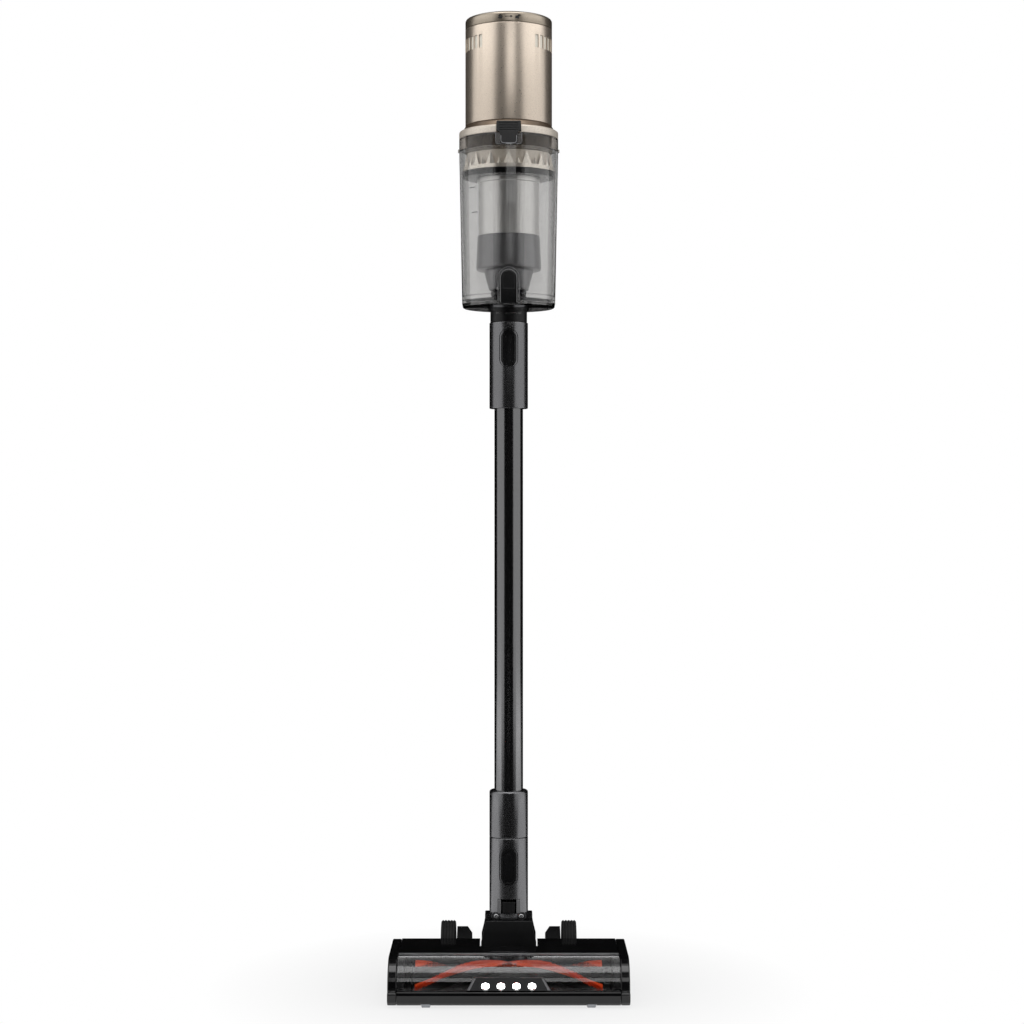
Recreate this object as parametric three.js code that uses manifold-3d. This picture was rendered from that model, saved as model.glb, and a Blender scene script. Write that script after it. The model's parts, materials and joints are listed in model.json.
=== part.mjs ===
// Cordless stick vacuum: floor head, jointed neck, wand, and a hand unit with a dust cup in front.
// Millimetres, +Z up, the front faces -Y. The origin is on the floor, on the axis of the wand.
import * as THREE from 'three';
import { mergeVertices } from 'three/addons/utils/BufferGeometryUtils.js';
import Module from 'manifold-3d';

const wasm = await Module();
wasm.setup();

// ---------------------------------------------------------------- general
const GAP = 0.3; // between pieces that touch or are fastened together
const RUN = 0.3; // radial clearance of a turning or sliding piece
const FINE = 26; // sides of the cup-sized rounds
const MEDIUM = 18; // sides of the wand-sized rounds
const COARSE = 10; // sides of small pins and holes

// ---------------------------------------------------------------- floor head
const HEAD_WIDTH = 260;
const HEAD_REAR = 12;
const HEAD_FRONT = -111;
const HEAD_TOP = 50;
const HEAD_BOTTOM = 3;
const COVER_THICK = 3;
const CAP_THICK = 10;
const WALL = 3;
const SIDE_WALL = 7.5; // end walls of the chassis, which carry the roller
const DIVIDER_Y = -46.5; // wall between the brush chamber and the rear compartment
const WINDOW_Y = -73; // centre of the window's arc
const WINDOW_Z = 17;
const WINDOW_R = 32;
const WINDOW_THICK = 2;
const BUMPER_BACK = -97.5;
const BUMPER_TOP = 19;
const BUMPER_BOTTOM = 3.2;
const BRUSH_Y = -74;
const BRUSH_Z = 23.5;
const BRUSH_R = 21.5;
const BRUSH_CORE_R = 13;
const BRUSH_STUB_R = 5;
const STRIP_COUNT = 3;
const STRIP_START = 40; // degrees from the top to the first strip, at mid width
const STRIP_TURN = 1.47; // degrees that a strip winds for each millimetre of width
const STRIP_SPREAD = 9; // half the angle that a strip takes on the core
const BRISTLE_SPREAD = 4;
const BRUSH_PULLEY_R = 11;
const MOTOR_PULLEY_R = 5.5;
const BELT_WIDTH = 5;
const BELT_THICK = 1.2;
const BRUSH_MOTOR_Y = -22;
const BRUSH_MOTOR_Z = 24;
const BRUSH_MOTOR_R = 14;
const BRUSH_MOTOR_LENGTH = 58;
const COMB_TEETH = 27;
const COMB_PITCH = 7.8;
const COMB_THICK = 2.2;
const LED_COUNT = 4;
const LED_PITCH = 16.6;
const LED_R = 3.9;
const LED_Z = 23.6;
const LED_HOUSING_TOP = 32;
const LED_HALF_TOP = 37;
const LED_HALF_BOTTOM = 45;
const LED_FACE_Y = -109.3; // foot of the sloping lamp face
const LED_SLOPE = 4;
const LED_BAR_HALF = 33.2;
const LED_BAR_FRONT = -106.5;
const LED_BAR_BACK = -104.9;
const LED_BAR_HEIGHT = 5;
const WHEEL_R = 31.6;
const WHEEL_WIDTH = 16.6;
const WHEEL_X = 68.5;
const WHEEL_Y = 45.5;
const WHEEL_AXLE_R = 5;
const ARM_WIDTH = 17;
const ARM_R = 25;
const ROLLER_R = 6.2;
const ROLLER_WIDTH = 9.5;
const ROLLER_X = 88.6;
const ROLLER_Y = -103;
const ROLLER_AXLE_R = 2;
const ROLLER_AXLE_REACH = 2.5; // length of axle past each face of a roller

// ---------------------------------------------------------------- neck
const SLEEVE_R = 21.5; // outside of the neck and of both sleeves
const TILT_Y = 5;
const TILT_Z = 38;
const TILT_LIMIT = 80; // degrees back from upright
const TRUNNION_R = 5;
const YOKE_HALF = SLEEVE_R + 4.5;
const YOKE_REACH = SLEEVE_R + 6.5; // to the front and to the rear of the swivel
const YOKE_LOW = 28;
const YOKE_HIGH = 48;
const PLATE_THICK = 5.5;
const PLATE_HALF_LOW = SLEEVE_R + 9;
const PLATE_HALF_HIGH = SLEEVE_R + 4;
const PLATE_TOP = 77;
const PLATE_SHOULDER = 54;
const WELL_HALF = PLATE_HALF_LOW + 1.5; // half width of the well that the yoke tilts in
const SWIVEL_Z = 62;
const SWIVEL_LIMIT = 35; // degrees to either side
const NECK_CLEARANCE = 1.2; // between the neck and the wheel arms
const SWIVEL_PIN_R = 5;
const KNUCKLE_R = 13;
const AIRWAY_R = 9;
const EAR_HALF = SLEEVE_R + 4.9;
const BOSS_R = 4.4;
const BOSS_X = 14;
const SLOT_HALF = 12.5;
const SLOT_HEIGHT = 16;
const CATCH_HALF = 7;

// ---------------------------------------------------------------- wand
const SOCKET_R = 18; // bore that takes a spigot
const SPIGOT_R = 17.5;
const SPIGOT_BORE = 14;
const SPIGOT_LENGTH = 46;
const TUBE_R = 16;
const TUBE_WALL = 1.5;
const TUBE_BORE = TUBE_R - TUBE_WALL;
const TUBE_SEAT = 20; // length of tube held in each sleeve
const NECK_BOTTOM = 77;
const NECK_TOP = 167;
const LOWER_SLEEVE_TOP = 219;
const TUBE_SHOWN = 426; // length of tube between the sleeves
const UPPER_SLEEVE_BOTTOM = LOWER_SLEEVE_TOP + TUBE_SHOWN;
const UPPER_SLEEVE_TOP = UPPER_SLEEVE_BOTTOM + 96;
const BUTTON_WIDTH = 16.6;
const BUTTON_RING = 21;
const BUTTON_HEIGHT = 40;
const NECK_BUTTON_Z = 136;
const WAND_BUTTON_Z = UPPER_SLEEVE_TOP - 29.5;

// ---------------------------------------------------------------- hand unit
const UNIT_LOW = UPPER_SLEEVE_TOP + GAP;
const UNIT_Y = -78; // axis of the motor housing and the cup
const HOUSING_R = 46.8;
const HOUSING_WALL = 2.8;
const HOUSING_BOTTOM = UNIT_LOW + 205.5;
const HOUSING_TOP = UNIT_LOW + 308.9;
const CAP_TOP = UNIT_LOW + 321.7;
const VENTS_PER_SIDE = 10;
const VENT_FIRST = 40; // degrees from the front to the first slot
const VENT_PITCH = 8.6;
const VENT_WIDTH = 4.6;
const VENT_LOW = UNIT_LOW + 283.7;
const VENT_HIGH = UNIT_LOW + 297.7;
const COLLAR_R = 53.5;
const COLLAR_BORE = HOUSING_R - HOUSING_WALL;
const COLLAR_LOW = UNIT_LOW + 191;
const MOTOR_R = 31;
const MOTOR_LOW = UNIT_LOW + 224.7;
const MOTOR_HIGH = UNIT_LOW + 266.7;
const SHAFT_R = 3;
const IMPELLER_R = 29;
const IMPELLER_BLADES = 9;
const FILTER_R = HOUSING_R - HOUSING_WALL - 1.5;
const FILTER_BORE = 20;
const FILTER_PLEATS = 24;
const PIPE_R = 20.5;
const PIPE_BORE = 17;
const PIPE_TOP = UNIT_LOW + 163.7;
const PORT_LOW = UNIT_LOW + 142.7;
const PORT_HIGH = UNIT_LOW + 158.7;
const PORT_HALF = 11;
const SPINE_HALF = 17;
const SPINE_REAR = 14;
const SPINE_TOP = UNIT_LOW + 292.7;
const HANDLE_HALF = 15;
const HANDLE_TOP = UNIT_LOW + 298.7;
const HANDLE_BOTTOM = UNIT_LOW + 126.7;
const HANDLE_REAR = 118;
const LOOP_FRONT = 36;
const LOOP_REAR = 82;
const LOOP_ROUND = 14;
const LOOP_LOW = UNIT_LOW + 150.7;
const LOOP_HIGH = UNIT_LOW + 254.7;
const TRIGGER_HALF = 6;
const TRIGGER_LOW = UNIT_LOW + 220.7;
const TRIGGER_HIGH = UNIT_LOW + 246.7;
const TRIGGER_TRAVEL = 4;
const BATTERY_HALF = 31;
const BATTERY_FRONT = 24;
const BATTERY_REAR = 131.5;
const BATTERY_LOW = UNIT_LOW + 73.7;
const BATTERY_KEY_HALF = 8;
const BATTERY_KEY_LOW = BATTERY_LOW + 25;
const BATTERY_KEY_HIGH = BATTERY_LOW + 41;
const BATTERY_KEY_THICK = 2.2;
const RAIL_STEM = 6;
const RAIL_HEAD = 10;
const RAIL_NECK = 5; // height of the stem under the rail's head
const RAIL_THICK = 5;
const RAIL_FRONT = 34;
const RAIL_REAR = 110;
const GRIP_HALF = 9;
const GRIP_THICK = 2.1;
const GRIP_LOW = LOOP_LOW + 3;
const GRIP_HIGH = LOOP_HIGH + 9;
const LENS_R = 10;
const LENS_Y = 66;
const LENS_DEPTH = 3;
const MODE_R = 5;
const MODE_Y = 86;
const MODE_DEPTH = 7;
const BOARD_HALF = 8.7;
const BOARD_FRONT = 38.4;
const BOARD_REAR = 79.6;
const BOARD_LOW = HANDLE_TOP - 27.6;
const BOARD_THICK = 1.6;

// ---------------------------------------------------------------- dust cup
const CUP_R_TOP = 53.5;
const CUP_R_LOW = 50.3;
const CUP_WALL = 2.2;
const CUP_TOP = UNIT_LOW + 177.2;
const CUP_LOW = UNIT_LOW + 12.9;
const RIM_TOP = UNIT_LOW + 190.7;
const RIM_BORE = 47;
const DOOR_LOW = UNIT_LOW + 8.7;
const DOOR_THICK = 3.9;
const DOOR_HINGE_Y = 51.5; // behind the cup's axis
const DOOR_HINGE_Z = UNIT_LOW + 10.2;
const KNUCKLE_PIN_R = 1.1;
const KNUCKLE_HALF = 8; // half length of the door's knuckle
const HINGE_HALF = 14; // half length of the whole hinge
const HINGE_R = 2.2;
const GASKET_R = 46.5;
const GASKET_WIDTH = 2.5;
const GASKET_THICK = 3.8;
const PRE_FILTER_THICK = 15.7;
const MESH_R = 32.7;
const MESH_LOW = UNIT_LOW + 87;
const PLATE_LOW = UNIT_LOW + 148.2;
const PLATE_HIGH = UNIT_LOW + 154.4;
const CROWN_TEETH = 15;
const CROWN_HEIGHT = 17.5;
const CROWN_R = 49.5;
const CROWN_BAND = 4; // height of the band under the teeth
const LATCH_HALF = 9.5;
const LATCH_TOP = UNIT_LOW + 46.7;
const LATCH_PIVOT_Z = UNIT_LOW + 25.7;
const LATCH_PIVOT_Y = -48;
const LATCH_THICK = 3.2;
const LATCH_FACE = 52.6; // in front of the cup's axis
const CUP_LATCH_HALF = 13;
const CUP_LATCH_TOP = UNIT_LOW + 202.7;

// ---------------------------------------------------------------- finishes
function finish(color, roughness, metalness = 0) {
  return new THREE.MeshStandardMaterial({ color, roughness, metalness });
}
const champagne = finish(0xcfc3b4, 0.32, 0.85);
const champagneGrain = finish(0xd8cdc0, 0.5, 0.6);
const blackSatin = finish(0x1b1b1c, 0.45);
const blackGloss = finish(0x0b0b0c, 0.12);
const greyPlastic = finish(0x2a2a2b, 0.5);
const smoky = finish(0x8e9092, 0.08);
smoky.transparent = true;
smoky.opacity = 0.35;
const orange = finish(0xd8542a, 0.55);
const steel = finish(0xc8c6c4, 0.3, 0.9);
const rubber = finish(0x161616, 0.85);
const paleGrey = finish(0xb9bcc0, 0.5);
const lamp = finish(0xffffff, 0.3);
lamp.emissive = new THREE.Color(0xffffff);
const cream = finish(0xe9e2d2, 0.9);
const foam = finish(0x3b3d40, 0.95);
const circuitGreen = finish(0x1f5a38, 0.6);

// ---------------------------------------------------------------- solids
const X = new THREE.Vector3(1, 0, 0);
const Y = new THREE.Vector3(0, 1, 0);
const Z = new THREE.Vector3(0, 0, 1);
const BACKWARDS = Y.clone().negate();

function solid(geometry) {
  const bare = geometry.clone();
  bare.deleteAttribute('normal');
  bare.deleteAttribute('uv');
  const merged = mergeVertices(bare, 1e-4);
  const mesh = new wasm.Mesh({
    numProp: 3,
    vertProperties: new Float32Array(merged.attributes.position.array),
    triVerts: new Uint32Array(merged.index.array),
  });
  return new wasm.Manifold(mesh);
}

function geometryOf(manifold) {
  const { vertProperties, triVerts } = manifold.getMesh();
  const geometry = new THREE.BufferGeometry();
  geometry.setAttribute('position', new THREE.BufferAttribute(vertProperties, 3));
  geometry.setIndex(new THREE.BufferAttribute(triVerts, 1));
  const faceted = geometry.toNonIndexed();
  faceted.computeVertexNormals();
  return faceted;
}

function join(...pieces) {
  return geometryOf(pieces.map(solid).reduce((whole, piece) => whole.add(piece)));
}

function cut(piece, ...tools) {
  return geometryOf(tools.map(solid).reduce((whole, tool) => whole.subtract(tool), solid(piece)));
}

function common(piece, ...others) {
  return geometryOf(others.map(solid).reduce((whole, other) => whole.intersect(other), solid(piece)));
}

function box(x0, x1, y0, y1, z0, z1) {
  const geometry = new THREE.BoxGeometry(x1 - x0, y1 - y0, z1 - z0);
  return geometry.translate((x0 + x1) / 2, (y0 + y1) / 2, (z0 + z1) / 2);
}

// [radius, height] points turned about the vertical axis through (0, y).
function turned(points, sides, y = 0) {
  const profile = toVectors(points);
  if (THREE.ShapeUtils.area(profile) < 0) {
    profile.reverse();
  }
  const onAxis = points[0][0] === 0 && points.at(-1)[0] === 0;
  if (!onAxis) {
    profile.push(profile[0].clone());
  }
  return new THREE.LatheGeometry(profile, sides).rotateX(Math.PI / 2).translate(0, y, 0);
}

function disc(radius, z0, z1, sides, y = 0) {
  return turned([[0, z0], [radius, z0], [radius, z1], [0, z1]], sides, y);
}

function pipe(radius, bore, z0, z1, sides, y = 0) {
  return turned([[bore, z0], [radius, z0], [radius, z1], [bore, z1]], sides, y);
}

// Round bars along X and along Y.
function barX(radius, x0, x1, y, z, sides = COARSE) {
  return new THREE.CylinderGeometry(radius, radius, x1 - x0, sides)
    .rotateZ(Math.PI / 2)
    .translate((x0 + x1) / 2, y, z);
}

function barY(radius, y0, y1, x, z, sides = COARSE) {
  return new THREE.CylinderGeometry(radius, radius, y1 - y0, sides).translate(x, (y0 + y1) / 2, z);
}

// An outline of [y, z] points, or a Shape, drawn out along X.
function acrossX(outline, x0, x1, bevel = 0) {
  const shape = outline instanceof THREE.Shape ? outline : new THREE.Shape(toVectors(outline));
  const geometry = new THREE.ExtrudeGeometry(shape, {
    depth: x1 - x0 - 2 * bevel,
    bevelEnabled: bevel > 0,
    bevelThickness: bevel,
    bevelSize: bevel,
    bevelOffset: -bevel,
    bevelSegments: 1,
    curveSegments: 5,
  });
  geometry.applyMatrix4(new THREE.Matrix4().makeBasis(Y, Z, X));
  return geometry.translate(x0 + bevel, 0, 0);
}

// An outline of [x, z] points, or a Shape, drawn out along Y.
function alongY(outline, y0, y1) {
  const shape = outline instanceof THREE.Shape ? outline : new THREE.Shape(toVectors(outline));
  const options = { depth: y1 - y0, bevelEnabled: false, curveSegments: 8 };
  const geometry = new THREE.ExtrudeGeometry(shape, options);
  geometry.applyMatrix4(new THREE.Matrix4().makeBasis(X, Z, BACKWARDS));
  return geometry.translate(0, y1, 0);
}

function toVectors(points) {
  return points.map(([a, b]) => new THREE.Vector2(a, b));
}

// A slot outline with round ends, standing upright.
function obround(width, height, z) {
  const r = width / 2;
  const reach = height / 2 - r;
  const shape = new THREE.Shape();
  shape.absarc(0, z + reach, r, 0, Math.PI, false);
  shape.absarc(0, z - reach, r, Math.PI, 2 * Math.PI, false);
  return shape;
}

// An outline with straight sides, a flat foot and a round top.
function arch(half, z0, z1) {
  const shape = new THREE.Shape();
  shape.moveTo(-half, z0);
  shape.lineTo(half, z0);
  shape.absarc(0, z1 - half, half, 0, Math.PI, false);
  return shape;
}

const object = new THREE.Group();

function part(name, geometry, material, parent = object) {
  const mesh = new THREE.Mesh(geometry, material);
  mesh.name = name;
  parent.add(mesh);
  return mesh;
}

const SIDES = [[-1, 'left'], [1, 'right']];

function spread(side, near, far) {
  return side < 0 ? [-far, -near] : [near, far];
}

// ---------------------------------------------------------------- floor head
const CHASSIS_HALF = HEAD_WIDTH / 2 - CAP_THICK - GAP;
const CHAMBER_HALF = CHASSIS_HALF - SIDE_WALL;
const COVER_LOW = HEAD_TOP - COVER_THICK;
const WINDOW_TOP_Y = WINDOW_Y + 6.5; // where the window ends at the top cover
const FLOOR_TOP = HEAD_BOTTOM + WALL;
const WELL_FRONT = TILT_Y - 38;
const BELT_X = CHAMBER_HALF - 3.8; // middle of the belt, on the left

// The end walls follow the inside of the window and of the top cover.
function sideOutline() {
  const radius = WINDOW_R - WINDOW_THICK - GAP;
  const start = Math.PI / 2 - Math.asin((WINDOW_TOP_Y - WINDOW_Y) / radius);
  const shape = new THREE.Shape();
  shape.moveTo(HEAD_REAR, HEAD_BOTTOM);
  shape.lineTo(HEAD_REAR, COVER_LOW - GAP);
  shape.lineTo(WINDOW_TOP_Y + GAP, COVER_LOW - GAP);
  const end = Math.PI / 2 + Math.acos((BUMPER_TOP + 1.5 - WINDOW_Z) / radius);
  shape.absarc(WINDOW_Y, WINDOW_Z, radius, start, end, false);
  shape.lineTo(BUMPER_BACK + GAP, BUMPER_TOP - 4);
  shape.lineTo(BUMPER_BACK + GAP, HEAD_BOTTOM);
  return shape;
}

function rollerPocket(side) {
  const half = ROLLER_WIDTH / 2 + RUN;
  return box(side * ROLLER_X - half, side * ROLLER_X + half,
    ROLLER_Y - ROLLER_R - RUN, BUMPER_BACK + 5, 0, 2 * ROLLER_R + 1);
}

function wheelArm(side) {
  const inner = WHEEL_X - WHEEL_WIDTH / 2 - 1.7 - ARM_WIDTH;
  const [x0, x1] = spread(side, inner, inner + ARM_WIDTH);
  const outline = new THREE.Shape();
  outline.moveTo(HEAD_REAR - 2, 8);
  outline.lineTo(WHEEL_Y, WHEEL_R - ARM_R + 2);
  outline.absarc(WHEEL_Y, WHEEL_R + 1, ARM_R - 1, -Math.PI / 2, Math.PI / 2, false);
  outline.lineTo(HEAD_REAR - 2, 46);
  const slope = new THREE.Shape(toVectors([[inner - 1, 48], [inner - 1, 62], [inner + 11, 62]]));
  const chamfer = alongY(slope, HEAD_REAR - 5, WHEEL_Y + ARM_R + 5);
  if (side < 0) {
    chamfer.applyMatrix4(new THREE.Matrix4().makeRotationZ(Math.PI));
    chamfer.translate(0, HEAD_REAR + WHEEL_Y + ARM_R, 0);
  }
  const [a0, a1] = spread(side, inner + 4, WHEEL_X + WHEEL_WIDTH / 2 + 0.6);
  const axle = barX(WHEEL_AXLE_R, a0, a1, WHEEL_Y, WHEEL_R);
  return join(cut(acrossX(outline, x0, x1), chamfer), axle);
}

// Room in a wheel arm for the neck as it lies back, turned fully to that side.
function neckRelief(side) {
  const reach = NECK_BOTTOM - SWIVEL_Z;
  const neck = disc(SLEEVE_R + NECK_CLEARANCE, reach, reach + 60, FINE);
  neck.rotateY(THREE.MathUtils.degToRad(side * SWIVEL_LIMIT)).translate(0, -TILT_Y, SWIVEL_Z - TILT_Z);
  return [TILT_LIMIT, TILT_LIMIT - 8, TILT_LIMIT - 16].map((tilt) => neck.clone()
    .rotateX(-THREE.MathUtils.degToRad(tilt)).translate(0, TILT_Y, TILT_Z));
}

function headBase() {
  const body = acrossX(sideOutline(), -CHASSIS_HALF, CHASSIS_HALF);
  const chamber = box(-CHAMBER_HALF, CHAMBER_HALF, HEAD_FRONT - 5, DIVIDER_Y - WALL, FLOOR_TOP, 60);
  const mouth = box(-CHAMBER_HALF + 3, CHAMBER_HALF - 3, HEAD_FRONT - 5, DIVIDER_Y - WALL - 3, 0, 30);
  const rooms = SIDES.map(([side]) => {
    const [x0, x1] = spread(side, WELL_HALF + 5, CHAMBER_HALF + 3);
    return box(x0, x1, DIVIDER_Y, HEAD_REAR - WALL, FLOOR_TOP, 60);
  });
  const well = box(-WELL_HALF, WELL_HALF, WELL_FRONT - 3, HEAD_REAR + 1, FLOOR_TOP, 60);
  const duct = box(-20, 20, DIVIDER_Y - WALL - 1, WELL_FRONT, 12, 36);
  const beltSlot = box(-CHAMBER_HALF, -CHAMBER_HALF + 8, DIVIDER_Y - WALL - 1, DIVIDER_Y + 1, FLOOR_TOP, 60);
  const arms = SIDES.map(([side]) => wheelArm(side));
  const trunnionHole = barX(TRUNNION_R + RUN, -WELL_HALF - 6, WELL_HALF + 6, TILT_Y, TILT_Z);
  const stubHole = barX(BRUSH_STUB_R + RUN, -CHASSIS_HALF - 1, CHASSIS_HALF + 1, BRUSH_Y, BRUSH_Z);
  const hollow = cut(body, chamber, mouth, ...rooms, well, duct, beltSlot);
  return cut(join(hollow, ...arms), trunnionHole, stubHole, ...neckRelief(-1), ...neckRelief(1));
}

function headCover() {
  const y0 = WINDOW_TOP_Y + GAP;
  const plate = box(-CHASSIS_HALF, CHASSIS_HALF, y0, HEAD_REAR, COVER_LOW, HEAD_TOP);
  const hump = [[-26, HEAD_TOP - 1], [26, HEAD_TOP - 1], [17, HEAD_TOP + 1.6], [-17, HEAD_TOP + 1.6]];
  const notch = box(-WELL_HALF, WELL_HALF, WELL_FRONT, HEAD_REAR + 1, HEAD_TOP - 10, HEAD_TOP + 10);
  return cut(join(plate, alongY(hump, y0 + 2, WELL_FRONT - 0.5)), notch);
}

function brushWindow() {
  const start = Math.asin((WINDOW_TOP_Y - WINDOW_Y) / WINDOW_R);
  const end = Math.acos((BUMPER_TOP + GAP - WINDOW_Z) / WINDOW_R);
  const shape = new THREE.Shape();
  shape.absarc(WINDOW_Y, WINDOW_Z, WINDOW_R, Math.PI / 2 - start, Math.PI / 2 + end, false);
  shape.absarc(WINDOW_Y, WINDOW_Z, WINDOW_R - WINDOW_THICK, Math.PI / 2 + end, Math.PI / 2 - start, true);
  return acrossX(shape, -CHASSIS_HALF, CHASSIS_HALF);
}

function frontBumper() {
  const outline = [[BUMPER_BACK, BUMPER_BOTTOM], [BUMPER_BACK, BUMPER_TOP - 7],
    [HEAD_FRONT + 8, BUMPER_TOP - 0.6],
    [HEAD_FRONT + 5, BUMPER_TOP], [HEAD_FRONT + 1.5, BUMPER_TOP - 1.2], [HEAD_FRONT, BUMPER_TOP - 4],
    [HEAD_FRONT, BUMPER_BOTTOM + 3.8], [HEAD_FRONT + 2, BUMPER_BOTTOM + 1], [HEAD_FRONT + 5, BUMPER_BOTTOM]];
  const reach = ROLLER_WIDTH / 2 + ROLLER_AXLE_REACH + 0.75;
  const axles = SIDES.map(([side]) => {
    const [x0, x1] = spread(side, ROLLER_X - reach, ROLLER_X + reach);
    return barX(ROLLER_AXLE_R + RUN, x0, x1, ROLLER_Y, ROLLER_R);
  });
  const bar = acrossX(outline, -CHASSIS_HALF, CHASSIS_HALF);
  return cut(bar, ...SIDES.map(([side]) => rollerPocket(side)), ...axles);
}

function ledPositions() {
  return Array.from({ length: LED_COUNT }, (_, i) => (i - (LED_COUNT - 1) / 2) * LED_PITCH);
}

function ledHousing() {
  const low = BUMPER_TOP + GAP;
  const back = WINDOW_Y - 20;
  const face = alongY([[-LED_HALF_BOTTOM, low], [LED_HALF_BOTTOM, low], [LED_HALF_TOP, LED_HOUSING_TOP],
    [-LED_HALF_TOP, LED_HOUSING_TOP]], HEAD_FRONT, back);
  const wedge = acrossX([[LED_FACE_Y, low], [LED_FACE_Y + LED_SLOPE, LED_HOUSING_TOP],
    [back, LED_HOUSING_TOP], [back, low]], -LED_HALF_BOTTOM, LED_HALF_BOTTOM);
  const holes = ledPositions().map((x) => barY(LED_R + GAP, HEAD_FRONT, LED_BAR_BACK + 1, x, LED_Z));
  const cavity = box(-LED_BAR_HALF - GAP, LED_BAR_HALF + GAP, LED_BAR_FRONT - GAP, back,
    LED_Z - LED_BAR_HEIGHT / 2 - GAP, LED_Z + LED_BAR_HEIGHT / 2 + GAP);
  const behind = barX(WINDOW_R + GAP, -LED_HALF_BOTTOM - 1, LED_HALF_BOTTOM + 1, WINDOW_Y, WINDOW_Z, 48);
  return cut(common(face, wedge), behind, cavity, ...holes);
}

function ledStrip() {
  const bar = box(-LED_BAR_HALF, LED_BAR_HALF, LED_BAR_FRONT, LED_BAR_BACK,
    LED_Z - LED_BAR_HEIGHT / 2, LED_Z + LED_BAR_HEIGHT / 2);
  const lenses = ledPositions().map((x) => barY(LED_R, LED_FACE_Y + 1.1, LED_BAR_BACK, x, LED_Z, 18));
  return join(bar, ...lenses);
}

function endCap(side) {
  const radius = WINDOW_R + 1;
  const shape = new THREE.Shape();
  shape.moveTo(HEAD_REAR, HEAD_BOTTOM);
  shape.lineTo(HEAD_REAR, HEAD_TOP);
  shape.lineTo(WINDOW_Y, HEAD_TOP);
  shape.absarc(WINDOW_Y, WINDOW_Z, radius, Math.PI / 2, Math.PI, false);
  shape.lineTo(HEAD_FRONT + 1.5, WINDOW_Z);
  shape.lineTo(HEAD_FRONT, BUMPER_TOP - 4);
  shape.lineTo(HEAD_FRONT, HEAD_BOTTOM + 4);
  shape.lineTo(HEAD_FRONT + 4, HEAD_BOTTOM);
  const [x0, x1] = spread(side, HEAD_WIDTH / 2 - CAP_THICK, HEAD_WIDTH / 2);
  return acrossX(shape, x0, x1, 1.5);
}

// The belt runs round both pulleys: two arcs joined by their outer tangents.
function beltLoop(extra) {
  const big = BRUSH_PULLEY_R + GAP + extra;
  const small = MOTOR_PULLEY_R + GAP + extra;
  const dy = BRUSH_MOTOR_Y - BRUSH_Y;
  const dz = BRUSH_MOTOR_Z - BRUSH_Z;
  const lean = Math.atan2(dz, dy);
  const open = Math.acos((big - small) / Math.hypot(dy, dz));
  const shape = new THREE.Shape();
  shape.absarc(BRUSH_Y, BRUSH_Z, big, lean + open, lean - open + 2 * Math.PI, false);
  shape.absarc(BRUSH_MOTOR_Y, BRUSH_MOTOR_Z, small, lean - open, lean + open, false);
  return shape;
}

function driveBelt() {
  const outer = acrossX(beltLoop(BELT_THICK), -BELT_X - BELT_WIDTH / 2, -BELT_X + BELT_WIDTH / 2);
  return cut(outer, acrossX(beltLoop(0), -BELT_X - BELT_WIDTH, -BELT_X + BELT_WIDTH));
}

function brushMotor() {
  const x0 = -BELT_X + BELT_WIDTH / 2 + 4;
  const can = barX(BRUSH_MOTOR_R, x0, x0 + BRUSH_MOTOR_LENGTH, BRUSH_MOTOR_Y, BRUSH_MOTOR_Z, 20);
  const foot = box(x0 + 4, x0 + BRUSH_MOTOR_LENGTH - 4, BRUSH_MOTOR_Y - 9, BRUSH_MOTOR_Y + 9,
    FLOOR_TOP + GAP, BRUSH_MOTOR_Z);
  return cut(join(can, foot), barX(1.5 + RUN, x0 - 1, x0 + 10, BRUSH_MOTOR_Y, BRUSH_MOTOR_Z));
}

function motorPulley() {
  const x0 = -BELT_X - BELT_WIDTH / 2;
  const wheel = barX(MOTOR_PULLEY_R, x0, x0 + BELT_WIDTH, BRUSH_MOTOR_Y, BRUSH_MOTOR_Z, 18);
  const shaft = barX(1.5, x0 + 1, x0 + BELT_WIDTH + 12, BRUSH_MOTOR_Y, BRUSH_MOTOR_Z);
  return join(wheel, shaft);
}

function brushCore() {
  const end = CHAMBER_HALF - 9;
  const core = barX(BRUSH_CORE_R, -end, end, BRUSH_Y, BRUSH_Z, 24);
  const stubs = barX(BRUSH_STUB_R, -CHASSIS_HALF + 2, CHASSIS_HALF - 2, BRUSH_Y, BRUSH_Z);
  const low = -BELT_X - BELT_WIDTH / 2;
  const pulley = barX(BRUSH_PULLEY_R, low, low + BELT_WIDTH, BRUSH_Y, BRUSH_Z, 24);
  return join(core, stubs, pulley);
}

// A fin wound round the core: it leans one way on the left half and the other way on the right half.
function brushFin(startAngle, halfWidth, tip, widthAngle) {
  const steps = 24;
  const inner = BRUSH_CORE_R + 2 * GAP;
  const tipAngle = widthAngle * 0.6;
  const corners = [[inner, -widthAngle], [tip, -tipAngle], [tip, tipAngle], [inner, widthAngle]];
  const positions = [];
  for (let i = 0; i <= steps; i += 1) {
    const x = -halfWidth + (2 * halfWidth * i) / steps;
    for (const [r, lean] of corners) {
      const angle = THREE.MathUtils.degToRad(startAngle + lean - Math.abs(x) * STRIP_TURN);
      positions.push(x, BRUSH_Y + r * Math.sin(angle), BRUSH_Z + r * Math.cos(angle));
    }
  }
  const index = [];
  const n = corners.length;
  for (let i = 0; i < steps; i += 1) {
    for (let j = 0; j < n; j += 1) {
      const a = i * n + j;
      const b = i * n + ((j + 1) % n);
      index.push(a, a + n, b, b, a + n, b + n);
    }
  }
  const last = steps * n;
  index.push(0, 1, 2, 0, 2, 3, last, last + 2, last + 1, last, last + 3, last + 2);
  const geometry = new THREE.BufferGeometry();
  geometry.setAttribute('position', new THREE.Float32BufferAttribute(positions, 3));
  geometry.setIndex(index);
  return geometry;
}

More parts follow.
